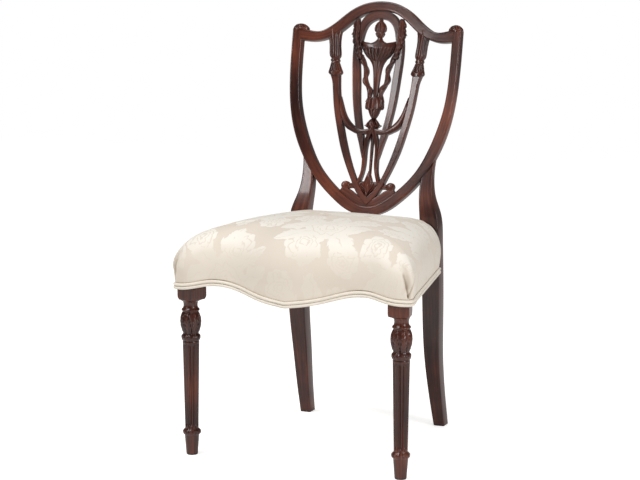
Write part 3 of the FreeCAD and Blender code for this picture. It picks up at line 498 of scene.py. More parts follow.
def flame(turn, share):
    """Six soft lobes on the bud's tall point."""
    return 1.4 * (lobes(turn, 6) - 0.7), 0.0


knot_spans = [(196, 0, 8), (203, 0, 10), (206, 0, 16), (208.5, 0, 20), (211.5, 0, 18.5), (217, 0, 11.5),
              (222, 0, 6), (227, 0, 1.6)]
carve("knot_leaf", [carving(knot_spans, 0.6, 20.0, veined, 2.0, 128, straight=True)])
bud_spans = [(43, 0, 2), (50, 0, 7), (58, 0, 14), (66, 0, 20.5), (72, 0, 23.5), (76, 0, 22), (80, 0, 13)]
point_spans = [(46, 0, 1.5), (54, 0, 5.5), (64, 0, 10), (74, 0, 12), (82, 0, 10.6), (92, 0, 7),
               (100, 0, 4), (106, 0, 1.8)]
carve("lotus_bud", [carving(bud_spans, 2.2, 19.5, veined, 2.1, 128, straight=True),
                    carving(point_spans, 1.6, 17.0, flame, 2.0, 96)])


# The cone finial is one carved piece between the lid and the hoop: an egg of pointed petals that stands in
# a small scaled cup, with a pin up to the hoop.
def scales(turn, share):
    """Petals on the egg, and diamond scales on the cup where two sets of slanting cuts leave them."""
    cup = fade(share, 0.1, 0.16) * fade(share, 0.31, 0.28)
    egg = fade(share, 0.33, 0.37) * fade(share, 0.8, 0.7)
    rising = np.abs(np.sin(turn * 4 + 12.0 * share))
    falling = np.abs(np.sin(turn * 4 - 12.0 * share))
    diamond = np.minimum(rising, falling) ** 0.6 - 0.5
    petal = np.clip(np.abs(np.sin(turn * 4 + 0.4)) - 1.1 * np.abs(share - 0.5), 0, 1) ** 0.5 - 0.6
    return cup * 1.8 * diamond + egg * 2.8 * petal, 0.0


finial_spans = [(409, 0, 5), (413, 0, 5.4), (416, 0, 8), (420, 0, 10.2), (424, 0, 10.8), (426, 0, 9.8),
                (427.5, 0, 12.4), (431, 0, 13.8), (436, 0, 14), (441, 0, 12.8), (446, 0, 10),
                (450, 0, 6.6), (452, 0, 4.8), (462, 0, 4.4)]
carve("urn_finial", [carving(finial_spans, 1.0, 20.5, scales, 2.0, 144, 110, True)])

# Round caps on the stiles beside the crest, turned as low domes and glued on. Each is cut with gouges that
# fan from its top.
ear_middle = 189.75


def gouges(turn, share):
    """Cuts that fan down the dome and stop at its foot."""
    return fade(share, 0.2, 0.4) * 3.6 * (lobes(turn, 10) - 0.75), 0.0


dome = [(425.4, 16.4), (426.4, 18.0), (429.4, 18.2), (433, 16.0), (437, 11.6), (440, 6.4), (441.2, 2.0)]
ear_spans = [(height, ear_middle, half) for height, half in dome]
carve_pair("ear_cap", [carving(ear_spans, -1.6, 23.4, gouges, 2.2)])

# Scroll brackets beside the foot of the V: a mound sawn to lie on the lower rail, whose neck ends in a
# round eye with a raised middle.
mound_edges = two_edges([(0, 18), (30, 30), (52, 41), (69, 55)],
                        [(0, 34), (27, 50), (46, 62.5), (62, 66)], 40)
neck_edges = two_edges([(28, 62), (40, 64.5), (52, 62)], [(36, 77), (45, 76), (53, 76)], 16)
eye_across, eye_up = 55.2, 70.5
eye_profile = np.array([(0.6, 3.6), (5, 3.8), (8, 4.4), (9.6, 5.6), (10.2, 8), (10.2, 16), (9, 19),
                        (0.6, 19)])
eye_radius, eye_depth = (column[:, None] for column in eye_profile.T)
turn = np.radians(np.linspace(0, 360, 48, endpoint=False))[None, :]
eye = on_back(eye_across + eye_radius * np.cos(turn), eye_up + eye_radius * np.sin(turn), eye_depth)
carve_pair("scroll_bracket", [strip(*mound_edges, 5.0, 19.0, 1.6), strip(*neck_edges, 6.4, 18.8, 1.6), eye])

# Husks hang over the hoop in a chain, from a long leaf under the crest rail down past the urn's rim. Each
# is a small bell of petals, carved proud of the hoop.
husk_line = smooth([(55.5, 445), (55.8, 432), (56, 420), (55, 408), (51.5, 396), (48, 384.5),
                    (45.5, 373)], 7)


def petals(turn, share):
    """Deep cuts between the petals, with points that hang below."""
    cut = 3.4 * fade(share, 1.2, 0.2) * (lobes(turn + math.pi / 2, 5) - 0.65)
    return cut, -6.0 * fade(share, 0.75, -0.25) * (lobes(turn, 5) - 0.4)


husks = []
for count, (across, up) in enumerate(husk_line):
    size = 1.12 - 0.02 * count
    spans = [(up - 8 * size, across, 5.5 * size), (up - 4 * size, across, 8.4 * size),
             (up, across, 7.6 * size), (up + 5 * size, across, 4.6 * size),
             (up + 9 * size, across + 0.5, 2.4 * size)]
    husks.append(carving(spans, -1.6, 12.0, petals, 2.0, 56, 24))
long_leaf_edges = two_edges([(50, 456), (48.5, 442), (48, 430), (51, 418)],
                            [(58, 456), (59.5, 441), (62, 430), (67.5, 418.5)], 36)
carve_pair("husk_chain", husks + [strip(*long_leaf_edges, 0.4, 12.0, 2.0, 1.6, 2)])

# Ribbons hang from the husks in soft folds and are tied in at the leaf cup. Each is carved as two strands
# that wind about each other.
ribbon_inside = [(36, 374), (29, 357), (22, 343), (20, 331), (21.5, 318), (17.5, 307), (11, 299),
                 (7.5, 290), (8, 280), (9, 264)]
ribbon_outside = [(48, 374), (42, 356), (34, 342), (32, 331), (34, 318), (31, 306), (24, 296),
                  (19.5, 287), (19.5, 278), (22.5, 264)]
near_edge, far_edge = two_edges(ribbon_inside, ribbon_outside, 120)
strands = []
for phase in (0.0, math.pi):
    wind = phase + np.linspace(0, 4.6 * math.pi, 120)
    swing = (0.5 + 0.15 * np.sin(wind))[:, None]
    near, far = (near_edge * (1 - part) + far_edge * part for part in (swing - 0.35, swing + 0.35))
    strands.append(strip(near, far, 5.5 + 2.6 * np.cos(wind), 15.0 + 2.0 * np.cos(wind), 1.6, 1.2))
carve_pair("ribbon", strands)

# Front legs, turned and carved in one piece: a plain foot, a collar, twelve flutes, a carved collar and
# urn, a ring and a neck, then the square block that takes the rails, chamfered into the neck. The block is
# turned to lie along the seat's side. The profile gives radius, height and how round the leg is.
seat_half_front, seat_half_rear, side_length = 271.4, 188.5, 392.0
side_slope = (seat_half_front - seat_half_rear) / side_length
leg_turn = math.atan(side_slope)
leg_x, leg_y = 242.5, -230.5
leg_profile = [(11.6, 0, 1), (12.6, 1.4, 1), (15.8, 43, 1), (16.6, 44.5, 1), (19.2, 47, 1), (20, 50.5, 1),
               (19.2, 54, 1), (16.4, 56.6, 1), (14.6, 58.5, 1), (18, 250, 1), (17.4, 252, 1),
               (19.8, 254.5, 1), (21, 259, 1), (20.4, 263.5, 1), (17.6, 266.5, 1), (16.6, 268.5, 1),
               (19.6, 274, 1), (22.6, 285, 1), (23.4, 296, 1), (22.2, 306, 1), (19, 313.5, 1),
               (16.8, 316, 1), (18.6, 317.4, 1), (19.6, 319.8, 1), (18.6, 322, 1), (16.6, 323.4, 1),
               (15.4, 327, 1), (15.2, 332, 1), (16.2, 337, 1), (19.5, 341, 0.5), (22.4, 342.5, 0),
               (22.5, 344, 0), (22.5, 367, 0), (20.5, 369, 0), (20.5, 428, 0)]


def fine_rows(profile, step):
    """The profile with rows added so that none is longer than step."""
    rows = [profile[0]]
    for low, high in zip(profile, profile[1:]):
        low, high = np.array(low), np.array(high)
        count = max(1, math.ceil((high[1] - low[1]) / step))
        rows += [low + (high - low) * share / count for share in range(1, count + 1)]
    return np.array(rows)


radius, height, roundness = (column[:, None] for column in fine_rows(leg_profile, 3.0).T)
turn = np.radians(np.linspace(0, 360, 192, endpoint=False))[None, :]
# Twelve flutes with plain arrises between them
flute = np.abs((turn * 12 / (2 * math.pi)) % 1 - 0.5) * 2
cut = 3.2 * fade(height, 63, 67) * fade(height, 247, 243) * np.sqrt(np.clip(1 - (flute / 0.8) ** 2, 0, 1))
# Slanting nicks round both collars
collar = fade(height, 44, 46) * fade(height, 58, 56) + fade(height, 252, 254) * fade(height, 268, 266)
cut += 1.6 * collar * (1 - lobes(turn + height * 0.03, 14))
# Eight veined leaves that stand up round the urn, with the ground cut back between their points
urn_foot, urn_top = 270, 314
share = fade(height, urn_foot, urn_top)
leaf = np.abs((turn * 8 / (2 * math.pi)) % 1 - 0.5) * 2
in_leaf = leaf < fade(share, 1.15, 0.15) ** 0.7 * 0.95
veins = 0.5 + 0.5 * np.cos(26 * share - 9 * leaf)
leaf_cut = 0.8 * leaf ** 2 + 1.5 * veins * np.clip(leaf * 3, 0, 1)
ground_cut = 2.8 - 1.2 * (1 - leaf)
cut += ((height > urn_foot) & (height < urn_top)) * np.where(in_leaf, leaf_cut, ground_cut)
# The block's section is a square whose corners are cut off where it meets the neck
hardness = 40
corner = 27.5 + 6.0 * fade(height, 342, 350)
sides = sum((np.abs(np.cos(turn - lean)) ** hardness + np.abs(np.sin(turn - lean)) ** hardness)
            / half ** hardness for lean, half in ((0.0, radius), (math.pi / 4, corner)))
reach = roundness * (radius - cut) + (1 - roundness) * sides ** (-1 / hardness)
block_shift = -3.5 * fade(height, 338, 343)
front_leg = np.stack([leg_x + reach * np.cos(turn + leg_turn) + block_shift,
                      leg_y + reach * np.sin(turn + leg_turn), height + 0 * reach], axis=-1)
carve_pair("front_leg", [front_leg])


# The seat. A cover over foam, as one crowned form whose sides swell between its corners. It hangs over the
# rails as a thin skirt, waves along the front, and is notched round the rear posts.
seat_middle = np.array([0.0, -48.0])
seat_half_depth = 227.0
# The front edge in plan, from its middle to the right corner
seat_front = [(0, -276), (40, -272.6), (75, -264), (104, -255), (132, -251.5), (161, -253.5), (190, -258),
              (208, -262.6), (226, -265), (243, -263.8), (257, -259.5), (264, -256.4), (268.6, -251.2),
              (271.2, -242)]
front_corner_y, seat_rear_y, post_front_y, post_clear = -242.0, 179.0, 148.0, 145.5
bend_start_x, bend_end_y = 243.0, -222.0
front_places, bend_places, side_places, notch_places, rear_places = 46, 30, 44, 20, 18


def side_x(y):
    """Half the seat's width at a place along it."""
    return seat_half_front - side_slope * (y - front_corner_y)


seat_side = [(side_x(y), y) for y in np.linspace(-236, seat_rear_y, 80)]
seat_path = np.vstack([smooth(seat_front, 400), seat_side])


def half_ring(scale, clear):
    """The seat's right edge in plan at a scale, always with as many places, round the notch for the post."""
    path = (seat_path - seat_middle) * scale + seat_middle
    rear_x, rear_y = path[-1]
    stop = min(post_front_y, rear_y - 10)
    turn_in = min(clear, rear_x - 10)
    bend_start = int(np.argmax(seat_path[:, 0] >= bend_start_x))
    bend_end = int(np.argmax(seat_path[:, 1] >= bend_end_y))
    side = path[bend_end:int(np.argmax(path[:, 1] >= stop))]
    end = side[-1]
    if rear_y > post_front_y:
        notch = [end, (end[0] - 2, stop), (clear + 1.5, stop), (clear, stop + 1.5), (turn_in, rear_y)]
    else:
        notch = [end, (rear_x - 1.5, rear_y - 4), (rear_x - 4, rear_y - 1), (turn_in, rear_y)]
    bend = path[bend_start:bend_end + 1]
    return np.vstack([even(path[:bend_start + 1], front_places), even(bend, bend_places)[1:],
                      even(side, side_places)[1:], even(notch, notch_places)[1:],
                      even([(turn_in, rear_y), (0, rear_y)], rear_places)[1:]])


wave_line = smooth([(0, 347), (75, 359.1), (112, 369), (176, 378.5), (233.4, 369), (310, 368)], 300)
wave_end_y, level_edge = -215.0, 368.5


def lower_edge(plan):
    """How high the cover's lower edge is: waved along the front, level at the sides."""
    wave = np.interp(np.abs(plan[:, 0]), wave_line[:, 0], wave_line[:, 1])
    return np.where(plan[:, 1] < wave_end_y, wave, level_edge)


def seat_row(scale, height, clear, lift=0.0):
    """One whole row round the seat, at a height, or if that is None, lifted from the lower edge."""
    right = half_ring(scale, clear)
    plan = np.vstack([right, right[-2:0:-1] * (-1, 1)])
    z = lower_edge(plan) + lift if height is None else np.full(len(plan), float(height))
    return np.column_stack([plan, z])


# Under the seat: the stuffing's level underside, the skirt's inner face and its lower edge
underside_z = 438.6
inner_clear = post_clear - 3
inset = 4.4 / seat_half_front
seat_rows = [seat_row(scale, underside_z, inner_clear) for scale in (0.08, 0.6, 1 - inset)]
seat_rows += [seat_row(1 - share * inset, None, clear, lift) for share, clear, lift in (
    (1.0, inner_clear, 6.0), (1.0, inner_clear, 2.5), (0.5, post_clear - 1.5, 0.4),
    (0.4, post_clear, 1.2), (0.4, post_clear, 13.0), (0.0, post_clear, 16.0))]
# Its side and top, as height and half width. Above the skirt the notch draws in towards the posts
seat_profile = [(392, 272.4), (398, 273.4), (411, 275.2), (428, 275.4), (444, 272), (459, 265),
                (471, 255.5), (481, 243), (489, 227), (495, 206), (500, 175), (503.5, 128), (505.6, 66),
                (506.4, 14)]
for height, half in smooth(seat_profile, 34):
    seat_rows.append(seat_row(half / seat_half_front, height, post_clear - 9.0 * fade(height, 434, 509)))
seat_grid = np.array(seat_rows)
# The top droops towards its four corners and swells between them
across_share = (seat_grid[..., 0] / 270.0) ** 2
along_share = ((seat_grid[..., 1] - seat_middle[1]) / seat_half_depth) ** 2
swell = fade(seat_grid[..., 2], 400, 470) * (5.0 - 20.0 * across_share * along_share - 3.0 * along_share)
seat_grid[6:, :, 2] += swell[6:]
top_edge_z = 462.0


def cloth_map(place):
    """Where on the cloth a place lies, in metres: its plan, and down the sides from the edge of the top."""
    outward = Vector((place[0] / seat_half_front, (place[1] - seat_middle[1]) / seat_half_depth))
    if place[1] < -225 and abs(place[0]) < 235:
        outward = Vector((0.0, -1.0))
    elif place[1] > 172 and abs(place[0]) < 150:
        outward = Vector((0.0, 1.0))
    elif place[1] > -205:
        outward = Vector((math.copysign(1.0, place[0]), 0.0))
    drop = max(0.0, top_edge_z - place[2])
    return (Vector(place[:2]) + outward.normalized() * drop) * MM


seat = solid("seat_cushion", [seat_grid], mahogany, "cloth")
seat.data.shade_smooth()
sharp = seat.data.attributes.get("sharp_edge")
if sharp:
    seat.data.attributes.remove(sharp)
cloth_uv = seat.data.uv_layers["cloth"]
for loop in seat.data.loops:
    cloth_uv.data[loop.index].uv = cloth_map(seat.data.vertices[loop.vertex_index].co / MM)


def places_of(piece):
    """A piece's points in millimetres."""
    return np.array([vertex.co for vertex in piece.data.vertices]) / MM


def inflate(piece, held, pressure, most):
    """Fills the cushion like foam under its cover: pressure from inside, held where the cloth is fixed."""
    start = places_of(piece)
    group = piece.vertex_groups.new(name="held")
    for index, weight in enumerate(held):
        if weight > 0:
            group.add([index], float(weight), "REPLACE")
    cloth = piece.modifiers.new("cloth", "CLOTH")
    settings = cloth.settings
    settings.use_pressure = True
    settings.uniform_pressure_force = pressure
    settings.vertex_group_mass = "held"
    settings.tension_stiffness = settings.compression_stiffness = 30
    settings.shear_stiffness = 15
    settings.bending_stiffness = 4
    settings.quality = 6
    settings.effector_weights.gravity = 0.0
    cloth.point_cache.frame_start, cloth.point_cache.frame_end = 1, 20
    for step in range(1, 21):
        bpy.context.scene.frame_set(step)
    shaped = piece.evaluated_get(bpy.context.evaluated_depsgraph_get()).to_mesh()
    moved = np.array([vertex.co for vertex in shaped.vertices]) / MM - start
    far = np.linalg.norm(moved, axis=1)[:, None]
    moved *= np.minimum(1.0, most / np.maximum(far, 1e-6))
    piece.modifiers.remove(cloth)
    piece.vertex_groups.remove(group)
    piece.data.vertices.foreach_set("co", ((start + moved) * MM).ravel())
    piece.data.update()
    bpy.context.scene.frame_set(1)


points = places_of(seat)
skirt = fade(points[:, 2], 418, 392)
underside = np.abs(points[:, 2] - underside_z) < 0.2
notch = (points[:, 1] > post_front_y - 3) & (np.abs(points[:, 0]) > 128) & (points[:, 2] < 496)
inflate(seat, np.maximum(np.maximum(skirt, underside), notch * 0.9), 1.5, 4.0)

divide = seat.modifiers.new("divide", "SUBSURF")
divide.levels = divide.render_levels = 1
finer = bpy.data.meshes.new_from_object(seat.evaluated_get(bpy.context.evaluated_depsgraph_get()))
seat.modifiers.clear()
seat.data = finer


def tuck(points, folds, foot, head, depth, width):
    """Presses a crease into the cloth from foot to head, deepest at its foot, and adds it to the folds,
    painted as shade.
    """
    foot, head = np.array(foot, float), np.array(head, float)
    way = head - foot
    share = np.clip((points - foot) @ way / (way @ way), 0, 1.0)
    inward = np.append(seat_middle - foot[:2], 0.0)
    inward /= np.linalg.norm(inward)
    away = points - (foot + share[:, None] * way)
    outward = away @ inward
    away -= outward[:, None] * inward
    near = np.exp(-(np.linalg.norm(away, axis=1) / width) ** 2) * (np.abs(outward) < 40)
    pressed = near * depth * (1 - 0.5 * share)
    folds += pressed
    return points + pressed[:, None] * inward


# At each front corner the cloth is gathered in a V of two creases below a soft dimple
corner_tucks = [((266, -254, 386), (271.5, -238, 424), 5.6, 1.9),
                ((266, -254, 386), (257, -260, 432), 5.6, 1.9),
                ((264, -255, 408), (261, -257, 446), 4.2, 7.0)]
points = places_of(seat)
folds = np.zeros(len(points))
for sign in (1.0, -1.0):
    for foot, head, depth, width in corner_tucks:
        points = tuck(points, folds, (sign * foot[0], *foot[1:]), (sign * head[0], *head[1:]), depth, width)
seat.data.vertices.foreach_set("co", (points * MM).ravel())
# The creases' depth is kept on the cloth, and the damask paints shade by it
seat.data.attributes.new("fold", "FLOAT", "POINT").data.foreach_set("value", folds)
seat.data.update()


# Damask: one colour of cotton and silk, woven so that the figure shines against a matt ground. The eye sees
# large pale flowers among toothed leaves on a slightly darker, duller cream, and a fine ribbed weave.
def new_group(name, inputs=()):
    """A shader group that takes a place on the cloth in millimetres and named sizes, and gives a mask."""
    group = bpy.data.node_groups.new(name, "ShaderNodeTree")
    group.interface.new_socket("Place", in_out="INPUT", socket_type="NodeSocketVector")
    for label in inputs:
        group.interface.new_socket(label, in_out="INPUT", socket_type="NodeSocketFloat")
    group.interface.new_socket("Mask", in_out="OUTPUT", socket_type="NodeSocketFloat")
    return group, add(group, "NodeGroupInput").outputs


# A leaf along X, its edges toothed and bent, with a line left down its middle
leaf, given = new_group("toothed_leaf", ("Length", "Width", "Bend", "Teeth"))
at = add(leaf, "ShaderNodeSeparateXYZ", [given["Place"]])
share = add(leaf, "ShaderNodeMath", [at.outputs["X"], given["Length"]], operation="DIVIDE")
from_middle = add(leaf, "ShaderNodeMath", [share, 0.5], operation="SUBTRACT")
far = add(leaf, "ShaderNodeMath", [from_middle], operation="ABSOLUTE")
inside_ends = add(leaf, "ShaderNodeMath", [far, 0.5], operation="LESS_THAN")
square = add(leaf, "ShaderNodeMath", [share, share], operation="MULTIPLY")
bow = add(leaf, "ShaderNodeMath", [square, given["Bend"]], operation="MULTIPLY")
from_rib = add(leaf, "ShaderNodeMath", [at.outputs["Y"], bow], operation="SUBTRACT")
off = add(leaf, "ShaderNodeMath", [from_rib], operation="ABSOLUTE")
late = add(leaf, "ShaderNodeMath", [share, 0.75], operation="POWER")
arch = add(leaf, "ShaderNodeMath", [late, math.pi], operation="MULTIPLY")
round_leaf = add(leaf, "ShaderNodeMath", [arch], operation="SINE")
full = add(leaf, "ShaderNodeMath", [round_leaf, 0.7], operation="POWER")
widest = add(leaf, "ShaderNodeMath", [full, given["Width"]], operation="MULTIPLY")
count = add(leaf, "ShaderNodeMath", [share, given["Teeth"]], operation="MULTIPLY")
slant = add(leaf, "ShaderNodeMath", [off, -0.05, count], operation="MULTIPLY_ADD")
tooth = add(leaf, "ShaderNodeMath", [slant], operation="FRACT")
toothed = add(leaf, "ShaderNodeMath", [tooth, 0.24, 0.76], operation="MULTIPLY_ADD")
half = add(leaf, "ShaderNodeMath", [widest, toothed], operation="MULTIPLY")
depth = add(leaf, "ShaderNodeMath", [half, off], operation="SUBTRACT")
body = add(leaf, "ShaderNodeMapRange", [depth, -0.6, 0.8])
rib = add(leaf, "ShaderNodeMapRange", [off, 0.7, 1.5, 0.25, 1.0])
ribbed = add(leaf, "ShaderNodeMath", [body, rib], operation="MULTIPLY")
mask = add(leaf, "ShaderNodeMath", [ribbed, inside_ends], operation="MULTIPLY")
add(leaf, "NodeGroupOutput", [mask])

# A flower of four layers of petals, with a thin line left round each inner layer
flower, given = new_group("layered_flower", ("Radius", "Petals"))
at = add(flower, "ShaderNodeSeparateXYZ", [given["Place"]])
reach = add(flower, "ShaderNodeVectorMath", [given["Place"]], operation="LENGTH").outputs["Value"]
angle = add(flower, "ShaderNodeMath", [at.outputs["Y"], at.outputs["X"]], operation="ARCTAN2")
waves = add(flower, "ShaderNodeMath", [given["Petals"], 0.5], operation="MULTIPLY")
mask = None
for size, offset in ((1.0, 0.0), (0.7, 1.5), (0.42, 0.6), (0.2, 0.0)):
    phase = add(flower, "ShaderNodeMath", [angle, waves, offset], operation="MULTIPLY_ADD")
    wave = add(flower, "ShaderNodeMath", [phase], operation="COSINE")
    hump = add(flower, "ShaderNodeMath", [wave], operation="ABSOLUTE")
    scallop = add(flower, "ShaderNodeMath", [hump, 0.5], operation="POWER")
    ragged = add(flower, "ShaderNodeMath", [scallop, 0.24, 0.76], operation="MULTIPLY_ADD")
    radius = add(flower, "ShaderNodeMath", [given["Radius"], size], operation="MULTIPLY")
    rim = add(flower, "ShaderNodeMath", [ragged, radius], operation="MULTIPLY")
    inner = add(flower, "ShaderNodeMath", [rim, reach], operation="SUBTRACT")
    if mask is None:
        mask = add(flower, "ShaderNodeMapRange", [inner, -0.6, 0.8])
    else:
        near = add(flower, "ShaderNodeMath", [inner], operation="ABSOLUTE")
        line = add(flower, "ShaderNodeMapRange", [near, 0.8, 1.8, 0.2, 1.0])
        mask = add(flower, "ShaderNodeMath", [mask, line], operation="MULTIPLY")
add(flower, "NodeGroupOutput", [mask])

# The spray: blooms as (x, y, turn, radius, petals) and leaves as (turn, distance out, length, width, bend)
blooms = [(4.0, 14.0, 0.0, 52.0, 9.0), (-24.0, -58.0, 0.5, 40.0, 11.0), (66.0, -76.0, 1.0, 36.0, 8.0),
          (-66.0, 82.0, 1.0, 35.0, 9.0), (62.0, 80.0, 0.3, 31.0, 8.0)]
leaves = [(8, 40, 56, 30, 26), (48, 40, 50, 26, -22), (88, 42, 68, 27, 24), (132, 38, 50, 27, -22),
          (176, 38, 58, 32, 28), (214, 38, 66, 28, -26), (264, 66, 48, 26, -18), (322, 38, 62, 28, 26)]
spray, given = new_group("spray_of_flowers")
# The outlines wander by a few millimetres, as drawn ones do
drift = add(spray, "ShaderNodeTexNoise", {"Vector": given["Place"], "Scale": 0.045, "Detail": 1.0})
off = add(spray, "ShaderNodeVectorMath", [drift.outputs["Color"], (0.5, 0.5, 0.5)], operation="SUBTRACT")
off = add(spray, "ShaderNodeVectorMath", {0: off, "Scale": 26.0}, operation="SCALE")
drawn = add(spray, "ShaderNodeVectorMath", [given["Place"], off], operation="ADD")
parts = [(flower, (x, y, 0.0), turn, {"Radius": radius, "Petals": count})
         for x, y, turn, radius, count in blooms]
for turn, out, length, width, bend in leaves:
    turn = math.radians(turn)
    parts.append((leaf, (out * math.cos(turn), 8 + out * math.sin(turn), 0.0), turn - 0.012 * bend,
                  {"Length": length, "Width": width, "Bend": bend, "Teeth": 5.0}))
figure = 0.0
for kind, place, turn, sizes in parts:
    way = add(spray, "ShaderNodeMapping", {"Vector": drawn, "Location": place, "Rotation": (0.0, 0.0, turn)},
              vector_type="TEXTURE")
    part = add(spray, "ShaderNodeGroup", {"Place": way, **sizes}, node_tree=kind)
    figure = add(spray, "ShaderNodeMath", [figure, part], operation="MAXIMUM")
add(spray, "NodeGroupOutput", [figure])

damask, tree = new_material("cream_damask")
cloth = add(tree, "ShaderNodeUVMap", uv_map="cloth")
millimetres = add(tree, "ShaderNodeVectorMath", {0: cloth, "Scale": 1000.0}, operation="SCALE")
# One spray fills a cell 200 mm wide and 240 mm long. Every second column drops by half and is turned over
cell_width, cell_length = 200.0, 240.0
moved = add(tree, "ShaderNodeVectorMath", [millimetres, (45.0, 70.0, 0.0)], operation="ADD")
place = add(tree, "ShaderNodeSeparateXYZ", [moved])
cells = add(tree, "ShaderNodeMath", [place.outputs["X"], cell_width], operation="DIVIDE")
column = add(tree, "ShaderNodeMath", [cells], operation="FLOOR")
odd = add(tree, "ShaderNodeMath", [column, 1.0], operation="PINGPONG")
sign = add(tree, "ShaderNodeMath", [odd, -2.0, 1.0], operation="MULTIPLY_ADD")
dropped = add(tree, "ShaderNodeMath", [odd, cell_length / 2, place.outputs["Y"]], operation="MULTIPLY_ADD")
in_cell = []
for distance, size in ((place.outputs["X"], cell_width), (dropped, cell_length)):
    within = add(tree, "ShaderNodeMath", [distance, size, 0.0], operation="WRAP")
    centred = add(tree, "ShaderNodeMath", [within, size / 2], operation="SUBTRACT")
    in_cell.append(add(tree, "ShaderNodeMath", [centred, sign], operation="MULTIPLY"))
cell = add(tree, "ShaderNodeCombineXYZ", in_cell)
figure = add(tree, "ShaderNodeGroup", {"Place": cell}, node_tree=spray)
# Painted sheen: the satin figure is painted paler on the top, where it turns the light from above, and fades
# down the sides
upright = add(tree, "ShaderNodeSeparateXYZ", [add(tree, "ShaderNodeTexCoord").outputs["Normal"]])
painted_top_sheen = add(tree, "ShaderNodeMapRange", [upright.outputs["Z"], 0.3, 0.85, 0.17, 1.0])
sheened_figure = add(tree, "ShaderNodeMath", [figure, painted_top_sheen], operation="MULTIPLY")
uneven = add(tree, "ShaderNodeTexNoise", {"Vector": millimetres, "Scale": 0.012, "Detail": 2.0})
ground = add(tree, "ShaderNodeMix", {0: uneven, 6: linear("#ded2c3"), 7: linear("#e7dccd")},
             data_type="RGBA")
pale = add(tree, "ShaderNodeMix", {0: sheened_figure, 6: ground.outputs[2], 7: linear("#f7f1e6")}, data_type="RGBA")
# Threads are 0.4 mm in the cloth. They are drawn 1.2 mm apart, to show at all
threads = add(tree, "ShaderNodeTexWave", {"Vector": millimetres, "Scale": 0.26}, bands_direction="DIAGONAL")
low_threads = add(tree, "ShaderNodeMath", [threads, 0.3], operation="MULTIPLY")
height = add(tree, "ShaderNodeMath", [figure, 0.6, low_threads], operation="MULTIPLY_ADD")
weave = add(tree, "ShaderNodeBump", {"Strength": 0.25, "Distance": 0.0004, "Height": height})
gloss = add(tree, "ShaderNodeMapRange", [figure, 0.0, 1.0, 0.82, 0.5])
# Painted shade: the cloth darkens where other surfaces lie within about 6 mm, along the welt, and in the
# creases at the corners by their depth
crevice = add(tree, "ShaderNodeAmbientOcclusion", {"Distance": 0.006}, samples=6)
unshaded = add(tree, "ShaderNodeMapRange", [crevice.outputs["AO"], 0.3, 0.75])
shaded_crevices = add(tree, "ShaderNodeMix", {0: unshaded, 6: linear("#8f7c69"), 7: pale.outputs[2]}, data_type="RGBA")
fold = add(tree, "ShaderNodeAttribute", attribute_name="fold").outputs["Fac"]
painted_fold_shade = add(tree, "ShaderNodeMapRange", [fold, 0.3, 6.0, 0.0, 0.75])
shaded = add(tree, "ShaderNodeMix", {0: painted_fold_shade, 6: shaded_crevices.outputs[2], 7: linear("#9c8770")}, data_type="RGBA")
cover = add(tree, "ShaderNodeBsdfPrincipled", {"Base Color": shaded.outputs[2], "Roughness": gloss,
                                               "Sheen Weight": 0.15, "Normal": weave})
add(tree, "ShaderNodeOutputMaterial", [cover])
seat.data.materials.clear()
seat.data.materials.append(damask)
fit(seat, "damask", "seat_cover", "seat_stuffing")


# Double welt: two cords covered in the damask cut on the bias, sewn side by side into one strip and glued
# over the cover's edge. One length runs from post to post round the front, and one along the rear.
def new_tree(name, inputs):
    """A Geometry Nodes tree that takes a line and the named inputs, and the line as a curve."""
    tree = bpy.data.node_groups.new(name, "GeometryNodeTree")
    tree.interface.new_socket("Geometry", in_out="INPUT", socket_type="NodeSocketGeometry")
    for label, kind in inputs.items():
        tree.interface.new_socket(label, in_out="INPUT", socket_type=kind)
    tree.interface.new_socket("Geometry", in_out="OUTPUT", socket_type="NodeSocketGeometry")
    given = add(tree, "NodeGroupInput").outputs
    return tree, given, add(tree, "GeometryNodeMeshToCurve", [given["Geometry"]])


def grow(name, tree, points, edges, **values):
    """A plain mesh from a tree run on a line of points in millimetres."""
    start = bpy.data.meshes.new(name)
    start.from_pydata([Vector(point) * MM for point in points], edges, [])
    piece = bpy.data.objects.new(name, start)
    bpy.context.scene.collection.objects.link(piece)
    modifier = piece.modifiers.new("grow", "NODES")
    modifier.node_group = tree
    for item in tree.interface.items_tree:
        if item.in_out == "INPUT" and item.name in values:
            modifier[item.identifier] = values[item.name]
    bpy.context.view_layer.update()
    shape = bpy.data.meshes.new_from_object(piece.evaluated_get(bpy.context.evaluated_depsgraph_get()))
    piece.modifiers.clear()
    piece.data = shape
    return piece


welt_tree, given, line = new_tree("welt_cord", {"Radius": "NodeSocketFloat", "Cloth": "NodeSocketMaterial"})
ring = add(welt_tree, "GeometryNodeCurvePrimitiveCircle", {"Resolution": 14, "Radius": given["Radius"]})
cord = add(welt_tree, "GeometryNodeCurveToMesh", {0: line, 1: ring, "Fill Caps": True})
soft = add(welt_tree, "GeometryNodeSetShadeSmooth", [cord])
whole = add(welt_tree, "GeometryNodeRealizeInstances", [soft])
covered = add(welt_tree, "GeometryNodeSetMaterial", {0: whole, "Material": given["Cloth"]})
add(welt_tree, "NodeGroupOutput", [covered])

# Bias cloth: the same cream, its threads slanting across the cord, a little greyer where it is handled
bias, tree = new_material("cream_damask_on_the_bias")
place = add(tree, "ShaderNodeTexCoord").outputs["Object"]
ribs = add(tree, "ShaderNodeTexWave", {"Vector": place, "Scale": 160.0}, bands_direction="DIAGONAL")
soil = add(tree, "ShaderNodeTexNoise", {"Vector": place, "Scale": 18.0})
shade = add(tree, "ShaderNodeMix", {0: soil, 6: linear("#e6dbcb"), 7: linear("#f1e9dd")}, data_type="RGBA")
relief = add(tree, "ShaderNodeBump", {"Strength": 0.25, "Distance": 0.0003, "Height": ribs})
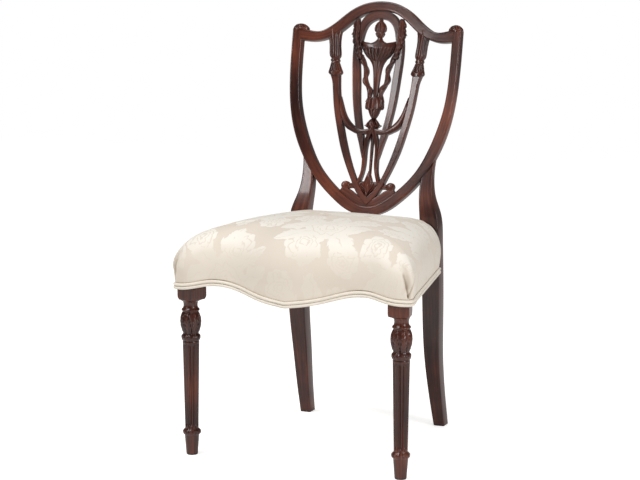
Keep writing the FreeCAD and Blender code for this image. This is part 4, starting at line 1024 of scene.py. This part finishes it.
# Painted shade: the cords darken where other surfaces lie within about 5 mm, between the two cords and
# against the cover
crevice = add(tree, "ShaderNodeAmbientOcclusion", {"Distance": 0.005}, samples=6)
unshaded = add(tree, "ShaderNodeMapRange", [crevice.outputs["AO"], 0.15, 0.6])
shaded_crevices = add(tree, "ShaderNodeMix", {0: unshaded, 6: linear("#7d6a58"), 7: shade.outputs[2]}, data_type="RGBA")
bias_cloth = add(tree, "ShaderNodeBsdfPrincipled", {"Base Color": shaded_crevices.outputs[2], "Roughness": 0.75,
                                                    "Sheen Weight": 0.15, "Normal": relief})
add(tree, "ShaderNodeOutputMaterial", [bias_cloth])

cord_radius = 3.5
right = half_ring(1.0 + 0.3 / seat_half_front, post_clear)
front_run = right[:front_places + bend_places + side_places - 1]
front_run = np.vstack([front_run[:0:-1] * (-1, 1), front_run])
rear_run = right[-rear_places:]
rear_run = np.vstack([rear_run[:-1], rear_run[::-1] * (-1, 1)]) + (0, 1.6)
for name, lift in (("welt_lower", cord_radius), ("welt_upper", 10.4)):
    points = np.vstack([np.column_stack([run, lower_edge(run) + lift]) for run in (front_run, rear_run)])
    edges = [(index, index + 1) for index in range(len(points) - 1) if index + 1 != len(front_run)]
    welt = grow("cloth_" + name, welt_tree, points, edges, Radius=cord_radius * MM, Cloth=bias)
    fit(welt, "welt_cord", name)


# Webbing: nine woven jute webs, four from front to back and five across over them, drawn tight and tacked
# on top of the rails. They end just inside the rails' outer faces.
def plain_weave(name, dark, pale, spacing, bump):
    """A coarse cloth of crossed flecked threads, their spacing in millimetres."""
    material, tree = new_material(name)
    place = add(tree, "ShaderNodeTexCoord").outputs["Object"]
    crossed = [add(tree, "ShaderNodeTexWave", {"Vector": place, "Scale": 314.0 / spacing, "Distortion": 0.6},
                   bands_direction=direction) for direction in ("X", "Y")]
    threads = add(tree, "ShaderNodeMath", crossed, operation="MULTIPLY")
    fleck = add(tree, "ShaderNodeTexNoise", {"Vector": place, "Scale": 400.0})
    half = add(tree, "ShaderNodeMath", [threads, 0.5], operation="MULTIPLY")
    mixed = add(tree, "ShaderNodeMath", [fleck, 0.5, half], operation="MULTIPLY_ADD")
    colour = add(tree, "ShaderNodeMix", {0: mixed, 6: linear(dark), 7: linear(pale)}, data_type="RGBA")
    raised = add(tree, "ShaderNodeBump", {"Strength": bump, "Distance": 0.0005, "Height": threads})
    woven = add(tree, "ShaderNodeBsdfPrincipled", {"Base Color": colour.outputs[2], "Roughness": 0.85,
                                                   "Normal": raised})
    add(tree, "ShaderNodeOutputMaterial", [woven])
    return material


# Unbleached jute: brown flecked yarn about 1.5 mm thick
jute = plain_weave("woven_jute", "#7d6240", "#c2a678", 3.0, 0.6)
web_tree, given, line = new_tree("webbing", {"Width": "NodeSocketFloat", "Thickness": "NodeSocketFloat",
                                             "Jute": "NodeSocketMaterial"})
section = add(web_tree, "GeometryNodeCurvePrimitiveQuadrilateral", {"Width": given["Width"],
                                                                    "Height": given["Thickness"]})
level = add(web_tree, "GeometryNodeSetCurveNormal", [line], mode="Z_UP")
band = add(web_tree, "GeometryNodeCurveToMesh", {0: level, 1: section, "Fill Caps": True})
whole = add(web_tree, "GeometryNodeRealizeInstances", [band])
woven = add(web_tree, "GeometryNodeSetMaterial", {0: whole, "Material": given["Jute"]})
add(web_tree, "NodeGroupOutput", [woven])

web_width, web_thickness = 50.0, 1.4
front_ends = (np.array(seat_front) - seat_middle) * (1 - 8.5 / seat_half_depth) + seat_middle
lengthwise = []
for x in (-105, -35, 35, 105):
    y = np.interp(abs(x) + web_width / 2, *front_ends.T) + (1.5 if abs(x) < 60 else 0)
    lengthwise.append([(x, y, 434.9), (x, 166, 434.9)])
crosswise = []
for y in (-170, -105, -40, 25, 90):
    x = side_x(y + web_width / 2) - 9.5
    crosswise.append([(-x, y, 436.5), (x, y, 436.5)])
for name, lines, rails in (("webbing_lengthwise", lengthwise, ["seat_rail_front", "seat_rail_rear"]),
                           ("webbing_crosswise", crosswise, ["seat_rail_left", "seat_rail_right"])):
    edges = [(2 * index, 2 * index + 1) for index in range(len(lines))]
    webs = grow("jute_" + name, web_tree, [point for line in lines for point in line], edges,
                Width=web_width * MM, Thickness=web_thickness * MM, Jute=jute)
    length = sum((Vector(end) - Vector(start)).length for start, end in lines) / len(lines) * MM
    fit(webs, "jute_webbing", name)


# Hessian: open-woven jute cloth, cut to the seat's plan, laid over the webbing and tacked to the rails. It
# keeps the stuffing from sinking between the webs.
def flat_cloth(name, rows, material, slot, node):
    """A thin stretched sheet the shape of the seat's plan, from the edges of its under and upper face."""
    under, upper = rows
    hub = [seat_row(0.05, row[:, 2].min(), post_clear) for row in rows]
    piece = solid(name, [np.array([hub[0], under, upper, hub[1]])], material)
    fit(piece, slot, node)


hessian_cloth = plain_weave("hessian", "#8f7650", "#cdb78f", 2.4, 0.5)
hessian_scale = 1 - 6.5 / seat_half_depth
hessian_rows = [seat_row(hessian_scale, height, inner_clear) for height in (437.3, 438.3)]
flat_cloth("hessian_sheet", hessian_rows, hessian_cloth, "hessian_cloth", "hessian")

# Dust cover: thin black bonded cloth tacked under the rails, matt and faintly fibrous. At the front it
# follows the waved underside of the rail.
bonded, tree = new_material("black_bonded_cloth")
place = add(tree, "ShaderNodeTexCoord").outputs["Object"]
fibres = add(tree, "ShaderNodeTexNoise", {"Vector": place, "Scale": 900.0, "Detail": 3.0})
shade = add(tree, "ShaderNodeMix", {0: fibres, 6: linear("#0f0f10"), 7: linear("#2c2b2d")}, data_type="RGBA")
felted = add(tree, "ShaderNodeBump", {"Strength": 0.3, "Distance": 0.0003, "Height": fibres})
dust_cloth = add(tree, "ShaderNodeBsdfPrincipled", {"Base Color": shade.outputs[2], "Roughness": 0.9,
                                                    "Normal": felted})
add(tree, "ShaderNodeOutputMaterial", [dust_cloth])
dust_scale = 1 - 7.5 / seat_half_depth
dust_front_y = -224.6
dust_rows = [seat_row(dust_scale, height, inner_clear) for height in (369.25, 369.95)]
for row in dust_rows:
    at_front = row[:, 1] < wave_end_y
    row[:, 1] = np.maximum(row[:, 1], dust_front_y)
    under_rail = lower_edge(np.column_stack([row[:, 0], np.full(len(row), dust_front_y)]))
    row[:, 2] += at_front * np.clip(under_rail - 368.4, 0, 12)
flat_cloth("dust_cover_sheet", dust_rows, bonded, "dust_cloth", "dust_cover")

# Rails and corner blocks: planed beech, tenoned, glued and screwed under the upholstery. It is pale and
# plain, with fine darker flecks.
beech, tree = new_material("planed_beech")
place = add(tree, "ShaderNodeTexCoord").outputs["Object"]
along = add(tree, "ShaderNodeMapping", {"Vector": place, "Scale": (20.0, 60.0, 240.0)})
grain = add(tree, "ShaderNodeTexNoise", {"Vector": along, "Scale": 1.0, "Detail": 4.0})
flecks = add(tree, "ShaderNodeTexVoronoi", {"Vector": place, "Scale": 300.0})
streak = add(tree, "ShaderNodeMath", [grain, 0.8], operation="MULTIPLY")
tone = add(tree, "ShaderNodeMath", [flecks, 0.25, streak], operation="MULTIPLY_ADD")
shade = add(tree, "ShaderNodeMix", {0: tone, 6: linear("#b98d5f"), 7: linear("#dcb98c")}, data_type="RGBA")
planed = add(tree, "ShaderNodeBump", {"Strength": 0.1, "Distance": 0.0003, "Height": grain})
beech_wood = add(tree, "ShaderNodeBsdfPrincipled", {"Base Color": shade.outputs[2], "Roughness": 0.55,
                                                    "Normal": planed})
add(tree, "ShaderNodeOutputMaterial", [beech_wood])

# Screws in the corner blocks and tacks in the dust cover: bright zinc-plated steel, a little dulled, with
# fine turning marks.
plated, tree = new_material("zinc_plated_steel")
place = add(tree, "ShaderNodeTexCoord").outputs["Object"]
marks = add(tree, "ShaderNodeTexNoise", {"Vector": place, "Scale": 700.0})
dull = add(tree, "ShaderNodeMapRange", [marks, 0.0, 1.0, 0.28, 0.5])
steel = add(tree, "ShaderNodeBsdfPrincipled", {"Base Color": linear("#b9bbbd"), "Metallic": 1.0,
                                               "Roughness": dull})
add(tree, "ShaderNodeOutputMaterial", [steel])
for name, node in frame["nodes"].items():
    node.data.materials.clear()
    node.data.materials.append(plated if name.endswith(("screws", "tacks")) else beech)
